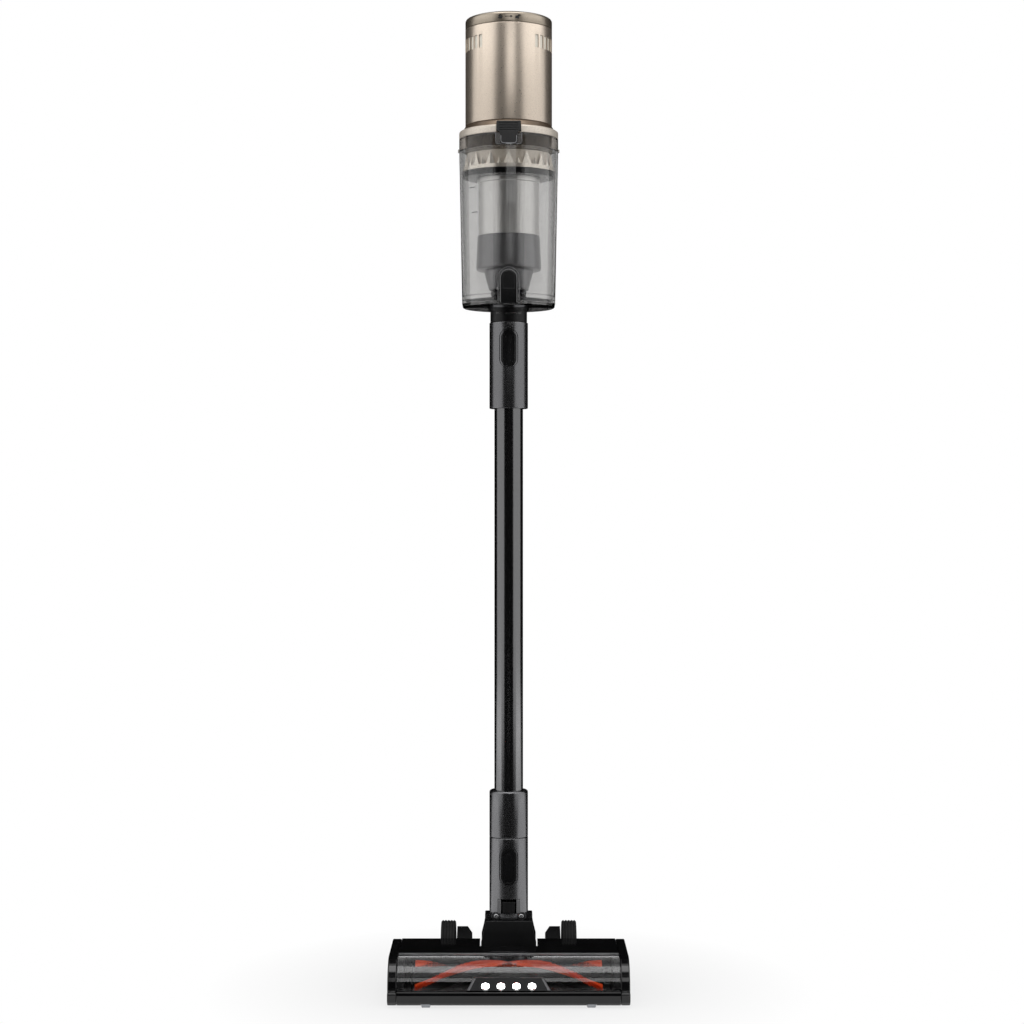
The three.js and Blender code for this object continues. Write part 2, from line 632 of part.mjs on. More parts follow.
function hairComb() {
  const z1 = COVER_LOW - GAP;
  const z0 = z1 - COMB_THICK;
  const width = (COMB_TEETH - 1) * COMB_PITCH;
  const teeth = Array.from({ length: COMB_TEETH }, (_, i) => {
    const x = i * COMB_PITCH - width / 2;
    return box(x - 1, x + 1, WINDOW_TOP_Y + 0.8, WINDOW_TOP_Y + 8, z0, z1);
  });
  return join(box(-width / 2 - 2, width / 2 + 2, WINDOW_TOP_Y + 6, DIVIDER_Y - WALL - GAP, z0, z1), ...teeth);
}

function rearWheel(side) {
  const [x0, x1] = spread(side, WHEEL_X - WHEEL_WIDTH / 2, WHEEL_X + WHEEL_WIDTH / 2);
  const bore = WHEEL_AXLE_R + RUN;
  const rim = WHEEL_R - 7;
  const points = [[bore, x0 + 1], [rim, x0 + 1], [rim, x0], [WHEEL_R - 1, x0], [WHEEL_R, x0 + 1],
    [WHEEL_R, x1 - 1], [WHEEL_R - 1, x1], [rim, x1], [rim, x1 - 1], [bore, x1 - 1]];
  return turned(points, 24).rotateY(Math.PI / 2).translate(0, WHEEL_Y, WHEEL_R);
}

function frontRoller(side) {
  const [x0, x1] = spread(side, ROLLER_X - ROLLER_WIDTH / 2, ROLLER_X + ROLLER_WIDTH / 2);
  const wheel = barX(ROLLER_R, x0, x1, ROLLER_Y, ROLLER_R, 20);
  const axle = barX(ROLLER_AXLE_R, x0 - ROLLER_AXLE_REACH, x1 + ROLLER_AXLE_REACH, ROLLER_Y, ROLLER_R);
  return join(wheel, axle);
}

part('head_base', headBase(), blackSatin);
part('head_top_cover', headCover(), blackGloss);
part('brush_window', brushWindow(), smoky);
part('front_bumper', frontBumper(), blackGloss);
part('led_housing', ledHousing(), greyPlastic);
part('led_strip', ledStrip(), lamp);
part('brush_motor', brushMotor(), steel);
part('motor_pulley', motorPulley(), steel);
part('drive_belt', driveBelt(), rubber);
part('brush_core', brushCore(), blackSatin);
part('hair_comb', hairComb(), blackSatin);
for (const [side, name] of SIDES) {
  part(`end_cap_${name}`, endCap(side), blackGloss);
  part(`rear_wheel_${name}`, rearWheel(side), rubber);
  part(`front_roller_${name}`, frontRoller(side), paleGrey);
}
for (let i = 0; i < STRIP_COUNT; i += 1) {
  const angle = STRIP_START + (i * 360) / STRIP_COUNT;
  const reach = CHAMBER_HALF - 11;
  part(`brush_strip_${i + 1}`, brushFin(angle, reach, BRUSH_R - 1, STRIP_SPREAD), orange);
  const between = angle + 180 / STRIP_COUNT;
  part(`bristle_row_${i + 1}`, brushFin(between, reach, BRUSH_R, BRISTLE_SPREAD), rubber);
}

// ---------------------------------------------------------------- neck
function yoke() {
  const block = box(-YOKE_HALF, YOKE_HALF, -YOKE_REACH, YOKE_REACH, YOKE_LOW, YOKE_HIGH);
  const trunnions = barX(TRUNNION_R, -WELL_HALF - 4.5, WELL_HALF + 4.5, TILT_Y, TILT_Z);
  const middle = [PLATE_HALF_HIGH + 2.5, PLATE_SHOULDER + 10];
  const outline = [[-PLATE_HALF_LOW, YOKE_HIGH - 1], [PLATE_HALF_LOW, YOKE_HIGH - 1],
    [PLATE_HALF_LOW, PLATE_SHOULDER], middle, [PLATE_HALF_HIGH, PLATE_TOP], [-PLATE_HALF_HIGH, PLATE_TOP],
    [-middle[0], middle[1]], [-PLATE_HALF_LOW, PLATE_SHOULDER]];
  const front = alongY(outline, -YOKE_REACH, -YOKE_REACH + PLATE_THICK);
  const rear = alongY(outline, YOKE_REACH - PLATE_THICK, YOKE_REACH);
  const airway = disc(AIRWAY_R, YOKE_LOW - 1, YOKE_HIGH + 1, 20);
  const pivot = barY(SWIVEL_PIN_R + RUN, -YOKE_REACH + 1.5, YOKE_REACH - 1.5, 0, SWIVEL_Z);
  return cut(join(block, trunnions, front, rear), airway, pivot);
}

// The outline of a release button, kept between two radii of the tube it sits in.
function buttonShell(width, z, height, outerR, innerR) {
  const outline = alongY(obround(width, height, z), -SLEEVE_R - 5, -5);
  return common(outline, pipe(outerR, innerR, z - height, z + height, 2 * MEDIUM));
}

function withButtonPocket(tube, z) {
  const hole = alongY(obround(BUTTON_WIDTH + 2 * GAP, BUTTON_HEIGHT + 2 * GAP, z), -SLEEVE_R - 5, -5);
  const ringHeight = BUTTON_HEIGHT + BUTTON_RING - BUTTON_WIDTH;
  const ring = buttonShell(BUTTON_RING, z, ringHeight, SLEEVE_R + 5, SLEEVE_R - 0.8);
  return cut(tube, hole, ring);
}

function releaseButton(z) {
  return buttonShell(BUTTON_WIDTH, z, BUTTON_HEIGHT, SLEEVE_R + 1, SPIGOT_R + 2.3);
}

const SLOT_LOW = NECK_BOTTOM + 7;

function neckTube() {
  const tube = turned([[SOCKET_R, NECK_BOTTOM + 6], [SOCKET_R, NECK_TOP], [SLEEVE_R - 1, NECK_TOP],
    [SLEEVE_R, NECK_TOP - 1], [SLEEVE_R, NECK_BOTTOM], [AIRWAY_R, NECK_BOTTOM],
    [AIRWAY_R, NECK_BOTTOM + 6]], MEDIUM);
  const half = YOKE_REACH - 8.5;
  const knuckle = barY(KNUCKLE_R, -half, half, 0, SWIVEL_Z, 20);
  const stem = box(-KNUCKLE_R + 1, KNUCKLE_R - 1, -half + 2.5, half - 2.5, SWIVEL_Z, NECK_BOTTOM + 3);
  const trunnions = barY(SWIVEL_PIN_R, -YOKE_REACH + 2, YOKE_REACH - 2, 0, SWIVEL_Z);
  const ears = SIDES.map(([side]) => {
    const [x0, x1] = spread(side, SLEEVE_R - 2, EAR_HALF);
    return box(x0, x1, -9, 9, NECK_BOTTOM - 4, NECK_BOTTOM + 5);
  });
  const front = -SLEEVE_R + 1.5;
  const bosses = SIDES.map(([side]) => barY(BOSS_R, front, -BOSS_X, side * BOSS_X, NECK_BOTTOM + 4));
  const airway = disc(AIRWAY_R, YOKE_LOW, NECK_BOTTOM + 10, 20);
  const slot = box(-SLOT_HALF, SLOT_HALF, -SLEEVE_R - 1, -BOSS_X, SLOT_LOW, SLOT_LOW + SLOT_HEIGHT);
  const body = cut(join(tube, knuckle, stem, trunnions, ...ears, ...bosses), airway, slot);
  return withButtonPocket(body, NECK_BUTTON_Z);
}

// The catch that holds the neck upright: a tongue in the slot at the foot of the neck.
function uprightCatch() {
  const tongue = box(-CATCH_HALF, CATCH_HALF, -SLEEVE_R, -SOCKET_R + 3,
    SLOT_LOW + GAP, SLOT_LOW + SLOT_HEIGHT - 3);
  return common(tongue, pipe(SLEEVE_R - 0.5, SOCKET_R + 0.2, NECK_BOTTOM, NECK_TOP, 2 * MEDIUM));
}

part('neck_yoke', yoke(), blackSatin);
part('neck_tube', neckTube(), greyPlastic);
part('neck_button', releaseButton(NECK_BUTTON_Z), blackSatin);
part('upright_catch', uprightCatch(), blackSatin);

// ---------------------------------------------------------------- wand
const LOWER_SLEEVE_LOW = NECK_TOP + GAP;
const TUBE_LOW = LOWER_SLEEVE_TOP - TUBE_SEAT;
const TUBE_HIGH = UPPER_SLEEVE_BOTTOM + TUBE_SEAT;

function lowerSleeve() {
  const seat = TUBE_R + GAP;
  const low = LOWER_SLEEVE_LOW;
  const top = LOWER_SLEEVE_TOP;
  return turned([[SPIGOT_BORE, low - SPIGOT_LENGTH], [SPIGOT_R, low - SPIGOT_LENGTH], [SPIGOT_R, low],
    [SLEEVE_R - 1, low], [SLEEVE_R, low + 1], [SLEEVE_R, top - 4], [SLEEVE_R - 1.2, top - 1.2],
    [SLEEVE_R - 4, top], [seat, top], [seat, TUBE_LOW - GAP], [SPIGOT_BORE, TUBE_LOW - GAP]], MEDIUM);
}

function upperSleeve() {
  const seat = TUBE_R + GAP;
  const shoulder = TUBE_HIGH + GAP;
  const sleeve = turned([[seat, UPPER_SLEEVE_BOTTOM], [SLEEVE_R - 1, UPPER_SLEEVE_BOTTOM],
    [SLEEVE_R, UPPER_SLEEVE_BOTTOM + 1], [SLEEVE_R, UPPER_SLEEVE_TOP - 1], [SLEEVE_R - 1, UPPER_SLEEVE_TOP],
    [SOCKET_R, UPPER_SLEEVE_TOP], [SOCKET_R, shoulder + 6], [SPIGOT_BORE, shoulder + 6],
    [SPIGOT_BORE, shoulder], [seat, shoulder]], MEDIUM);
  return withButtonPocket(sleeve, WAND_BUTTON_Z);
}

part('lower_sleeve', lowerSleeve(), greyPlastic);
part('wand_tube', pipe(TUBE_R, TUBE_BORE, TUBE_LOW, TUBE_HIGH, MEDIUM), blackGloss);
part('upper_sleeve', upperSleeve(), greyPlastic);
part('wand_button', releaseButton(WAND_BUTTON_Z), blackSatin);

// ---------------------------------------------------------------- hand unit
function bodySpine() {
  const spigot = pipe(SPIGOT_R, SPIGOT_BORE, UNIT_LOW - SPIGOT_LENGTH, UNIT_LOW + 6, MEDIUM);
  const top = PIPE_TOP + 7;
  const floor = UNIT_LOW + 6;
  const wall = turned([[SPIGOT_BORE, UNIT_LOW], [PIPE_R, UNIT_LOW], [PIPE_R, top], [PIPE_BORE, top],
    [PIPE_BORE, floor], [SPIGOT_BORE, floor]], MEDIUM);
  const lid = disc(PIPE_R, PIPE_TOP, top, MEDIUM);
  const port = box(-PORT_HALF - 3, PORT_HALF + 3, UNIT_Y + 46, -12, PORT_LOW - 3, PORT_HIGH + 3);
  const back = box(-SPINE_HALF, SPINE_HALF, UNIT_Y + COLLAR_BORE, SPINE_REAR, PIPE_TOP, SPINE_TOP);
  const cupRoom = disc(COLLAR_R + 0.8, DOOR_LOW - 10, HOUSING_BOTTOM, FINE, UNIT_Y);
  const housingRoom = disc(HOUSING_R + GAP, HOUSING_BOTTOM - 1, HOUSING_TOP + 5, FINE, UNIT_Y);
  const passage = box(-PORT_HALF, PORT_HALF, UNIT_Y + 40, 0, PORT_LOW, PORT_HIGH);
  return cut(join(wall, lid, spigot, port, back), cupRoom, housingRoom, passage);
}

function handleOutline() {
  const shape = new THREE.Shape();
  const front = SPINE_REAR + GAP;
  const corner = 24;
  shape.moveTo(front, PIPE_TOP + 8);
  shape.lineTo(PIPE_R + GAP + 0.2, PIPE_TOP + 8);
  shape.lineTo(PIPE_R + GAP + 0.2, HANDLE_BOTTOM);
  shape.lineTo(HANDLE_REAR - 6, HANDLE_BOTTOM);
  shape.absarc(HANDLE_REAR - 6, HANDLE_BOTTOM + 6, 6, -Math.PI / 2, 0, false);
  shape.absarc(HANDLE_REAR - corner, HANDLE_TOP - corner, corner, 0, Math.PI / 2, false);
  shape.lineTo(front, HANDLE_TOP - 8);
  const loop = new THREE.Path();
  const r = LOOP_ROUND;
  loop.absarc(LOOP_REAR - r, LOOP_HIGH - r, r, Math.PI / 2, 0, true);
  loop.absarc(LOOP_REAR - r, LOOP_LOW + r, r, 0, -Math.PI / 2, true);
  loop.absarc(LOOP_FRONT + r, LOOP_LOW + r, r, -Math.PI / 2, -Math.PI, true);
  loop.absarc(LOOP_FRONT + r, LOOP_HIGH - r, r, Math.PI, Math.PI / 2, true);
  shape.holes.push(loop);
  return shape;
}

function handleShell(side) {
  const whole = acrossX(handleOutline(), -HANDLE_HALF, HANDLE_HALF, 4);
  const [otherStart, otherEnd] = spread(-side, -GAP / 2, 100);
  const board = box(-BOARD_HALF - GAP, BOARD_HALF + GAP, BOARD_FRONT - GAP, BOARD_REAR + GAP,
    BOARD_LOW - GAP, BOARD_LOW + 12);
  const finger = box(-TRIGGER_HALF - GAP, TRIGGER_HALF + GAP, LOOP_REAR - 4, LOOP_REAR + 9 + TRIGGER_TRAVEL,
    TRIGGER_LOW - GAP, TRIGGER_HIGH + GAP);
  const lens = disc(LENS_R + GAP, HANDLE_TOP - LENS_DEPTH, HANDLE_TOP + 1, 24, LENS_Y);
  const button = disc(MODE_R + GAP, HANDLE_TOP - MODE_DEPTH, HANDLE_TOP + 1, 16, MODE_Y);
  const railEnd = HANDLE_REAR + 10;
  const slotEnd = RAIL_FRONT - 2;
  const neck = HANDLE_BOTTOM + RAIL_NECK;
  const stem = box(-RAIL_STEM - GAP, RAIL_STEM + GAP, slotEnd, railEnd, HANDLE_BOTTOM - 1, neck);
  const head = box(-RAIL_HEAD - GAP, RAIL_HEAD + GAP, slotEnd, railEnd, neck, neck + RAIL_THICK);
  const otherHalf = box(otherStart, otherEnd, 0, railEnd, HANDLE_BOTTOM - 10, HANDLE_TOP + 10);
  return cut(whole, otherHalf, board, finger, lens, button, stem, head);
}

function gripPad() {
  return box(-GRIP_HALF, GRIP_HALF, HANDLE_REAR + GAP, HANDLE_REAR + GAP + GRIP_THICK, GRIP_LOW, GRIP_HIGH);
}

function trigger() {
  const back = LOOP_REAR + 8.7;
  const outline = [[LOOP_REAR - 9, TRIGGER_HIGH - 6], [LOOP_REAR - 8.5, TRIGGER_HIGH], [back, TRIGGER_HIGH],
    [back, TRIGGER_LOW], [LOOP_REAR - 5, TRIGGER_LOW], [LOOP_REAR - 7, TRIGGER_LOW + 5]];
  return acrossX(outline, -TRIGGER_HALF, TRIGGER_HALF, 0.8);
}

function motorHousing() {
  const inner = HOUSING_R - HOUSING_WALL;
  const shell = turned([[30, HOUSING_BOTTOM], [HOUSING_R, HOUSING_BOTTOM], [HOUSING_R, HOUSING_TOP],
    [inner, HOUSING_TOP], [inner, HOUSING_BOTTOM + 3], [30, HOUSING_BOTTOM + 3]], FINE, UNIT_Y);
  const slots = [];
  for (const [side] of SIDES) {
    for (let i = 0; i < VENTS_PER_SIDE; i += 1) {
      const angle = THREE.MathUtils.degToRad(side * (VENT_FIRST + i * VENT_PITCH));
      const slot = box(-VENT_WIDTH / 2, VENT_WIDTH / 2, -HOUSING_R - 3, -HOUSING_R + 8, VENT_LOW, VENT_HIGH);
      slots.push(slot.rotateZ(angle).translate(0, UNIT_Y, 0));
    }
  }
  return cut(shell, ...slots);
}

function collarRing() {
  const ring = turned([[COLLAR_BORE, COLLAR_LOW], [COLLAR_R, COLLAR_LOW], [COLLAR_R, COLLAR_LOW + 7],
    [COLLAR_R - 2.2, COLLAR_LOW + 11], [HOUSING_R + 0.2, HOUSING_BOTTOM - GAP],
    [COLLAR_BORE, HOUSING_BOTTOM - GAP]], FINE, UNIT_Y);
  const notch = box(-CUP_LATCH_HALF - GAP, CUP_LATCH_HALF + GAP, UNIT_Y - 60, UNIT_Y - 48,
    COLLAR_LOW - 10, CUP_LATCH_TOP + GAP);
  return cut(ring, notch);
}

const FRAME_LOW = HOUSING_BOTTOM + 3 + GAP;
const FRAME_R = HOUSING_R - HOUSING_WALL - GAP - 0.2;

function motorFrame() {
  const inner = MOTOR_R + GAP;
  const top = MOTOR_HIGH + 3;
  const ledge = FRAME_LOW + 3;
  return turned([[inner, FRAME_LOW], [FRAME_R, FRAME_LOW], [FRAME_R, ledge], [inner + 2, ledge],
    [inner + 2, top - 3], [FRAME_R, top - 3], [FRAME_R, top], [inner, top]], FINE, UNIT_Y);
}

function motorCan() {
  return turned([[SHAFT_R + RUN, MOTOR_LOW], [MOTOR_R, MOTOR_LOW], [MOTOR_R, MOTOR_HIGH], [12, MOTOR_HIGH],
    [12, MOTOR_HIGH - 10], [SHAFT_R + RUN, MOTOR_HIGH - 10]], 30, UNIT_Y);
}

function impeller() {
  const low = MOTOR_LOW - 13;
  const end = MOTOR_HIGH - 12;
  const hub = turned([[0, low], [9, low], [SHAFT_R + 6, low + 6], [IMPELLER_R, low + 9],
    [IMPELLER_R, low + 11], [SHAFT_R, low + 11], [SHAFT_R, end], [0, end]], 24, UNIT_Y);
  const blades = [];
  for (let i = 0; i < IMPELLER_BLADES; i += 1) {
    const blade = box(6, IMPELLER_R - 1, -0.7, 0.7, low + 3, low + 9.5);
    blades.push(blade.rotateZ((i * 2 * Math.PI) / IMPELLER_BLADES).translate(0, UNIT_Y, 0));
  }
  return join(hub, ...blades);
}

function exhaustFilter() {
  const low = MOTOR_HIGH + 3 + GAP;
  const high = HOUSING_TOP - 4;
  const shape = new THREE.Shape();
  const corners = 2 * FILTER_PLEATS;
  for (let i = 0; i < corners; i += 1) {
    const r = i % 2 ? FILTER_R : FILTER_R - 3.5;
    const angle = (i * 2 * Math.PI) / corners;
    const point = [r * Math.cos(angle), r * Math.sin(angle)];
    if (i === 0) {
      shape.moveTo(...point);
    } else {
      shape.lineTo(...point);
    }
  }
  const pleats = new THREE.ExtrudeGeometry(shape, { depth: high - low, bevelEnabled: false });
  pleats.translate(0, UNIT_Y, low);
  return cut(pleats, disc(FILTER_BORE, low - 1, high + 1, 20, UNIT_Y));
}

function filterCap() {
  const low = HOUSING_TOP + GAP;
  const boss = FILTER_BORE - RUN - 0.2;
  const edge = [[HOUSING_R, CAP_TOP - 4.5], [HOUSING_R - 1.2, CAP_TOP - 2.2],
    [HOUSING_R - 4.5, CAP_TOP - 0.8], [HOUSING_R - 14, CAP_TOP]];
  const foot = [[0, low - 14], [boss, low - 14], [boss, low], [HOUSING_R, low]];
  return turned([...foot, ...edge, [0, CAP_TOP]], FINE, UNIT_Y);
}

const BATTERY_TOP = HANDLE_BOTTOM - GAP;

function batteryPack() {
  const outline = [[BATTERY_FRONT, BATTERY_LOW + 4], [BATTERY_FRONT + 4, BATTERY_LOW],
    [BATTERY_REAR - 5, BATTERY_LOW], [BATTERY_REAR, BATTERY_LOW + 5], [BATTERY_REAR, BATTERY_TOP - 5],
    [BATTERY_REAR - 5, BATTERY_TOP], [BATTERY_FRONT, BATTERY_TOP]];
  const body = acrossX(outline, -BATTERY_HALF, BATTERY_HALF, 2);
  const neck = HANDLE_BOTTOM + RAIL_NECK;
  const stem = box(-RAIL_STEM, RAIL_STEM, RAIL_FRONT, RAIL_REAR, BATTERY_TOP - 1, neck + 1);
  const head = box(-RAIL_HEAD, RAIL_HEAD, RAIL_FRONT, RAIL_REAR, neck + GAP, neck + RAIL_THICK - GAP);
  const half = BATTERY_KEY_HALF + GAP;
  const pocket = box(-half, half, BATTERY_REAR - 4, BATTERY_REAR + 1,
    BATTERY_KEY_LOW - GAP, BATTERY_KEY_HIGH + GAP);
  return cut(join(body, stem, head), pocket);
}

function batteryButton() {
  return box(-BATTERY_KEY_HALF, BATTERY_KEY_HALF, BATTERY_REAR - BATTERY_KEY_THICK, BATTERY_REAR,
    BATTERY_KEY_LOW, BATTERY_KEY_HIGH);
}

function controlBoard() {
  return box(-BOARD_HALF, BOARD_HALF, BOARD_FRONT, BOARD_REAR, BOARD_LOW, BOARD_LOW + BOARD_THICK);
}

part('body_spine', bodySpine(), blackSatin);
part('motor_housing', motorHousing(), champagne);
part('collar_ring', collarRing(), champagneGrain);
part('motor_frame', motorFrame(), blackSatin);
part('motor', motorCan(), steel);
part('impeller', impeller(), steel);
part('exhaust_filter', exhaustFilter(), cream);
part('filter_cap', filterCap(), champagne);
for (const [side, name] of SIDES) {
  part(`handle_shell_${name}`, handleShell(side), blackSatin);
}
part('grip_pad', gripPad(), rubber);
part('trigger', trigger(), greyPlastic);
part('display_lens', disc(LENS_R, HANDLE_TOP - LENS_DEPTH + GAP, HANDLE_TOP + 0.4, 24, LENS_Y), blackGloss);
part('mode_button', disc(MODE_R, HANDLE_TOP - MODE_DEPTH + 1.5, HANDLE_TOP + 0.8, 16, MODE_Y), greyPlastic);
part('control_board', controlBoard(), circuitGreen);
part('battery_pack', batteryPack(), blackSatin);
part('battery_button', batteryButton(), greyPlastic);

// ---------------------------------------------------------------- dust cup
function cupRadius(z) {
  return THREE.MathUtils.mapLinear(z, CUP_LOW, CUP_TOP, CUP_R_LOW, CUP_R_TOP);
}

const POCKET_HALF = LATCH_HALF + 0.5;
const POCKET_BACK = LATCH_PIVOT_Y + 2.5;
const HINGE_Y = UNIT_Y + DOOR_HINGE_Y;

function dustCup() {
  const low = CUP_R_LOW;
  const shell = turned([[low - CUP_WALL, CUP_LOW], [low, CUP_LOW], [CUP_R_TOP, CUP_TOP],
    [CUP_R_TOP - CUP_WALL, CUP_TOP]], FINE, UNIT_Y);
  const lump = arch(POCKET_HALF + 4.3, CUP_LOW, LATCH_TOP + 5);
  const block = common(alongY(lump, UNIT_Y - low + 0.6, UNIT_Y + POCKET_BACK + 2),
    disc(low - 1, CUP_LOW, LATCH_TOP + 10, FINE, UNIT_Y));
  const pocket = alongY(arch(POCKET_HALF, CUP_LOW - 5, LATCH_TOP + 0.5), UNIT_Y - 60, UNIT_Y + POCKET_BACK);
  const pins = SIDES.map(([side]) => {
    const [x0, x1] = spread(side, POCKET_HALF - 0.5, POCKET_HALF + 3);
    return barX(KNUCKLE_PIN_R + RUN, x0, x1, UNIT_Y + LATCH_PIVOT_Y, LATCH_PIVOT_Z, 8);
  });
  const port = box(-PORT_HALF, PORT_HALF, UNIT_Y + 45, UNIT_Y + 60, PORT_LOW, PORT_HIGH);
  const knuckles = SIDES.map(([side]) => {
    const [x0, x1] = spread(side, KNUCKLE_HALF + GAP, HINGE_HALF);
    const lug = box(x0, x1, HINGE_Y - 3, HINGE_Y, DOOR_HINGE_Z, CUP_LOW + 4);
    return join(barX(HINGE_R, x0, x1, HINGE_Y, DOOR_HINGE_Z, 12), lug);
  });
  const hingeHole = barX(KNUCKLE_PIN_R + RUN, -HINGE_HALF - 1, HINGE_HALF + 1, HINGE_Y, DOOR_HINGE_Z);
  return cut(join(shell, block, ...knuckles), pocket, ...pins, port, hingeHole);
}

function cupRim() {
  const ring = pipe(CUP_R_TOP, RIM_BORE, CUP_TOP + GAP, RIM_TOP, FINE, UNIT_Y);
  const recess = box(-14.3, 14.3, UNIT_Y - 60, UNIT_Y - 48, CUP_TOP, RIM_TOP + 1);
  const bumps = SIDES.map(([side]) => {
    const [x0, x1] = spread(side, CUP_R_TOP - 2, CUP_R_TOP + 1.3);
    return box(x0, x1, UNIT_Y - 3, UNIT_Y + 3, CUP_TOP + GAP, CUP_TOP + 3);
  });
  return join(cut(ring, recess), ...bumps);
}

function cyclone() {
  const bandTop = PLATE_HIGH + GAP + CROWN_BAND;
  const band = pipe(CROWN_R, CROWN_R - 4, PLATE_HIGH + GAP, bandTop, 45, UNIT_Y);
  const teeth = [];
  for (let i = 0; i < 2 * CROWN_TEETH; i += 1) {
    const big = i % 2 === 0;
    const height = (big ? 1 : 0.55) * CROWN_HEIGHT;
    const tooth = new THREE.ConeGeometry(big ? 8 : 4.5, height, 4).rotateX(Math.PI / 2).scale(1, 0.3, 1);
    tooth.translate(0, 2.4 - CROWN_R, bandTop - 2 + height / 2 - (big ? 1.6 : 0));
    teeth.push(tooth.rotateZ((i * Math.PI) / CROWN_TEETH).translate(0, UNIT_Y, 0));
  }
  return join(band, ...teeth);
}

function meshFilter() {
  const top = PLATE_LOW - GAP;
  return turned([[MESH_R - 1.5, MESH_LOW], [MESH_R, MESH_LOW], [MESH_R, top - 5], [MESH_R + 1.2, top - 4.5],
    [MESH_R + 1.2, top], [MESH_R - 1.5, top]], FINE, UNIT_Y);
}

function cycloneSkirt() {
  const top = MESH_LOW - GAP;
  const low = top - 57;
  const step = top - 37;
  const brim = MESH_R + 2.6;
  return turned([[19, low], [21.3, low], [26.7, step], [brim - 0.7, step + 1.2], [brim, step + 3.5],
    [MESH_R + 1, top], [MESH_R - 3.7, top], [MESH_R - 3.7, step + 11], [24, step + 5]], FINE, UNIT_Y);
}

function cupDoor() {
  const top = DOOR_LOW + DOOR_THICK;
  const plate = turned([[0, DOOR_LOW], [CUP_R_LOW - 2.6, DOOR_LOW], [CUP_R_LOW - 0.8, DOOR_LOW + 1],
    [CUP_R_LOW - 0.3, top], [0, top]], FINE, UNIT_Y);
  const below = DOOR_LOW - 10;
  const above = DOOR_LOW + 10;
  const notch = box(-POCKET_HALF, POCKET_HALF, UNIT_Y - 60, UNIT_Y + LATCH_PIVOT_Y - 0.2, below, above);
  const clear = SIDES.map(([side]) => {
    const [x0, x1] = spread(side, KNUCKLE_HALF, HINGE_HALF + 0.5);
    return box(x0, x1, HINGE_Y - 3.4, HINGE_Y + 5, below, above);
  });
  const lug = box(-KNUCKLE_HALF, KNUCKLE_HALF, HINGE_Y - 4, HINGE_Y, DOOR_LOW, DOOR_LOW + 3);
  const knuckle = join(barX(HINGE_R, -KNUCKLE_HALF, KNUCKLE_HALF, HINGE_Y, DOOR_HINGE_Z, 12), lug);
  const hingeHole = barX(KNUCKLE_PIN_R + RUN, -HINGE_HALF - 1, HINGE_HALF + 1, HINGE_Y, DOOR_HINGE_Z);
  return cut(join(cut(plate, notch, ...clear), knuckle), hingeHole);
}

function doorGasket() {
  const low = DOOR_LOW + DOOR_THICK + GAP;
  const ring = pipe(GASKET_R, GASKET_R - GASKET_WIDTH, low, low + GASKET_THICK, FINE, UNIT_Y);
  const front = POCKET_HALF + 5;
  return cut(ring, box(-front, front, UNIT_Y - 60, UNIT_Y - 30, low - 1, low + GASKET_THICK + 1));
}

function doorLatch() {
  const face = UNIT_Y - LATCH_FACE;
  const pinReach = POCKET_HALF + 2.4;
  const rocker = alongY(arch(LATCH_HALF, DOOR_LOW + 1, LATCH_TOP), face, face + LATCH_THICK);
  const boss = barX(2.4, 1 - LATCH_HALF, LATCH_HALF - 1, UNIT_Y + LATCH_PIVOT_Y, LATCH_PIVOT_Z, 12);
  const trunnions = barX(KNUCKLE_PIN_R, -pinReach, pinReach, UNIT_Y + LATCH_PIVOT_Y, LATCH_PIVOT_Z, 8);
  return join(rocker, boss, trunnions);
}

function cupLatch() {
  const y0 = UNIT_Y - COLLAR_R + 0.2;
  const y1 = UNIT_Y - 49.6;
  const face = [[-LATCH_HALF, CUP_TOP + 1], [LATCH_HALF, CUP_TOP + 1], [LATCH_HALF, RIM_TOP],
    [CUP_LATCH_HALF, RIM_TOP + 2], [CUP_LATCH_HALF, CUP_LATCH_TOP], [-CUP_LATCH_HALF, CUP_LATCH_TOP],
    [-CUP_LATCH_HALF, RIM_TOP + 2], [-LATCH_HALF, RIM_TOP]];
  const grooves = [0, 1, 2, 3].map((i) => {
    const low = RIM_TOP + 1.5 + i * 2.4;
    return box(-10, 10, y0 - 1, y0 + 0.7, low, low + 1.1);
  });
  return cut(alongY(face, y0, y1), ...grooves);
}

part('dust_cup', dustCup(), smoky);
part('cup_rim', cupRim(), smoky);
part('cyclone_crown', cyclone(), champagne);
const PLATE_R = cupRadius(PLATE_LOW) - CUP_WALL - GAP - 0.2;
part('separator_plate', pipe(PLATE_R, 20, PLATE_LOW, PLATE_HIGH, FINE, UNIT_Y), rubber);
part('mesh_filter', meshFilter(), steel);
part('cyclone_skirt', cycloneSkirt(), blackSatin);
const FOAM_TOP = RIM_TOP - 0.8;
part('pre_filter', disc(RIM_BORE - 0.5, FOAM_TOP - PRE_FILTER_THICK, FOAM_TOP, FINE, UNIT_Y), foam);
part('cup_door', cupDoor(), smoky);
part('door_gasket', doorGasket(), rubber);
part('door_pin', barX(KNUCKLE_PIN_R, 0.2 - HINGE_HALF, HINGE_HALF - 0.2, HINGE_Y, DOOR_HINGE_Z), steel);
part('door_latch', doorLatch(), blackSatin);
part('cup_latch', cupLatch(), blackSatin);

export default object;
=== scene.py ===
import json
import math
import random

import bmesh
import bpy
from mathutils import Matrix, Vector

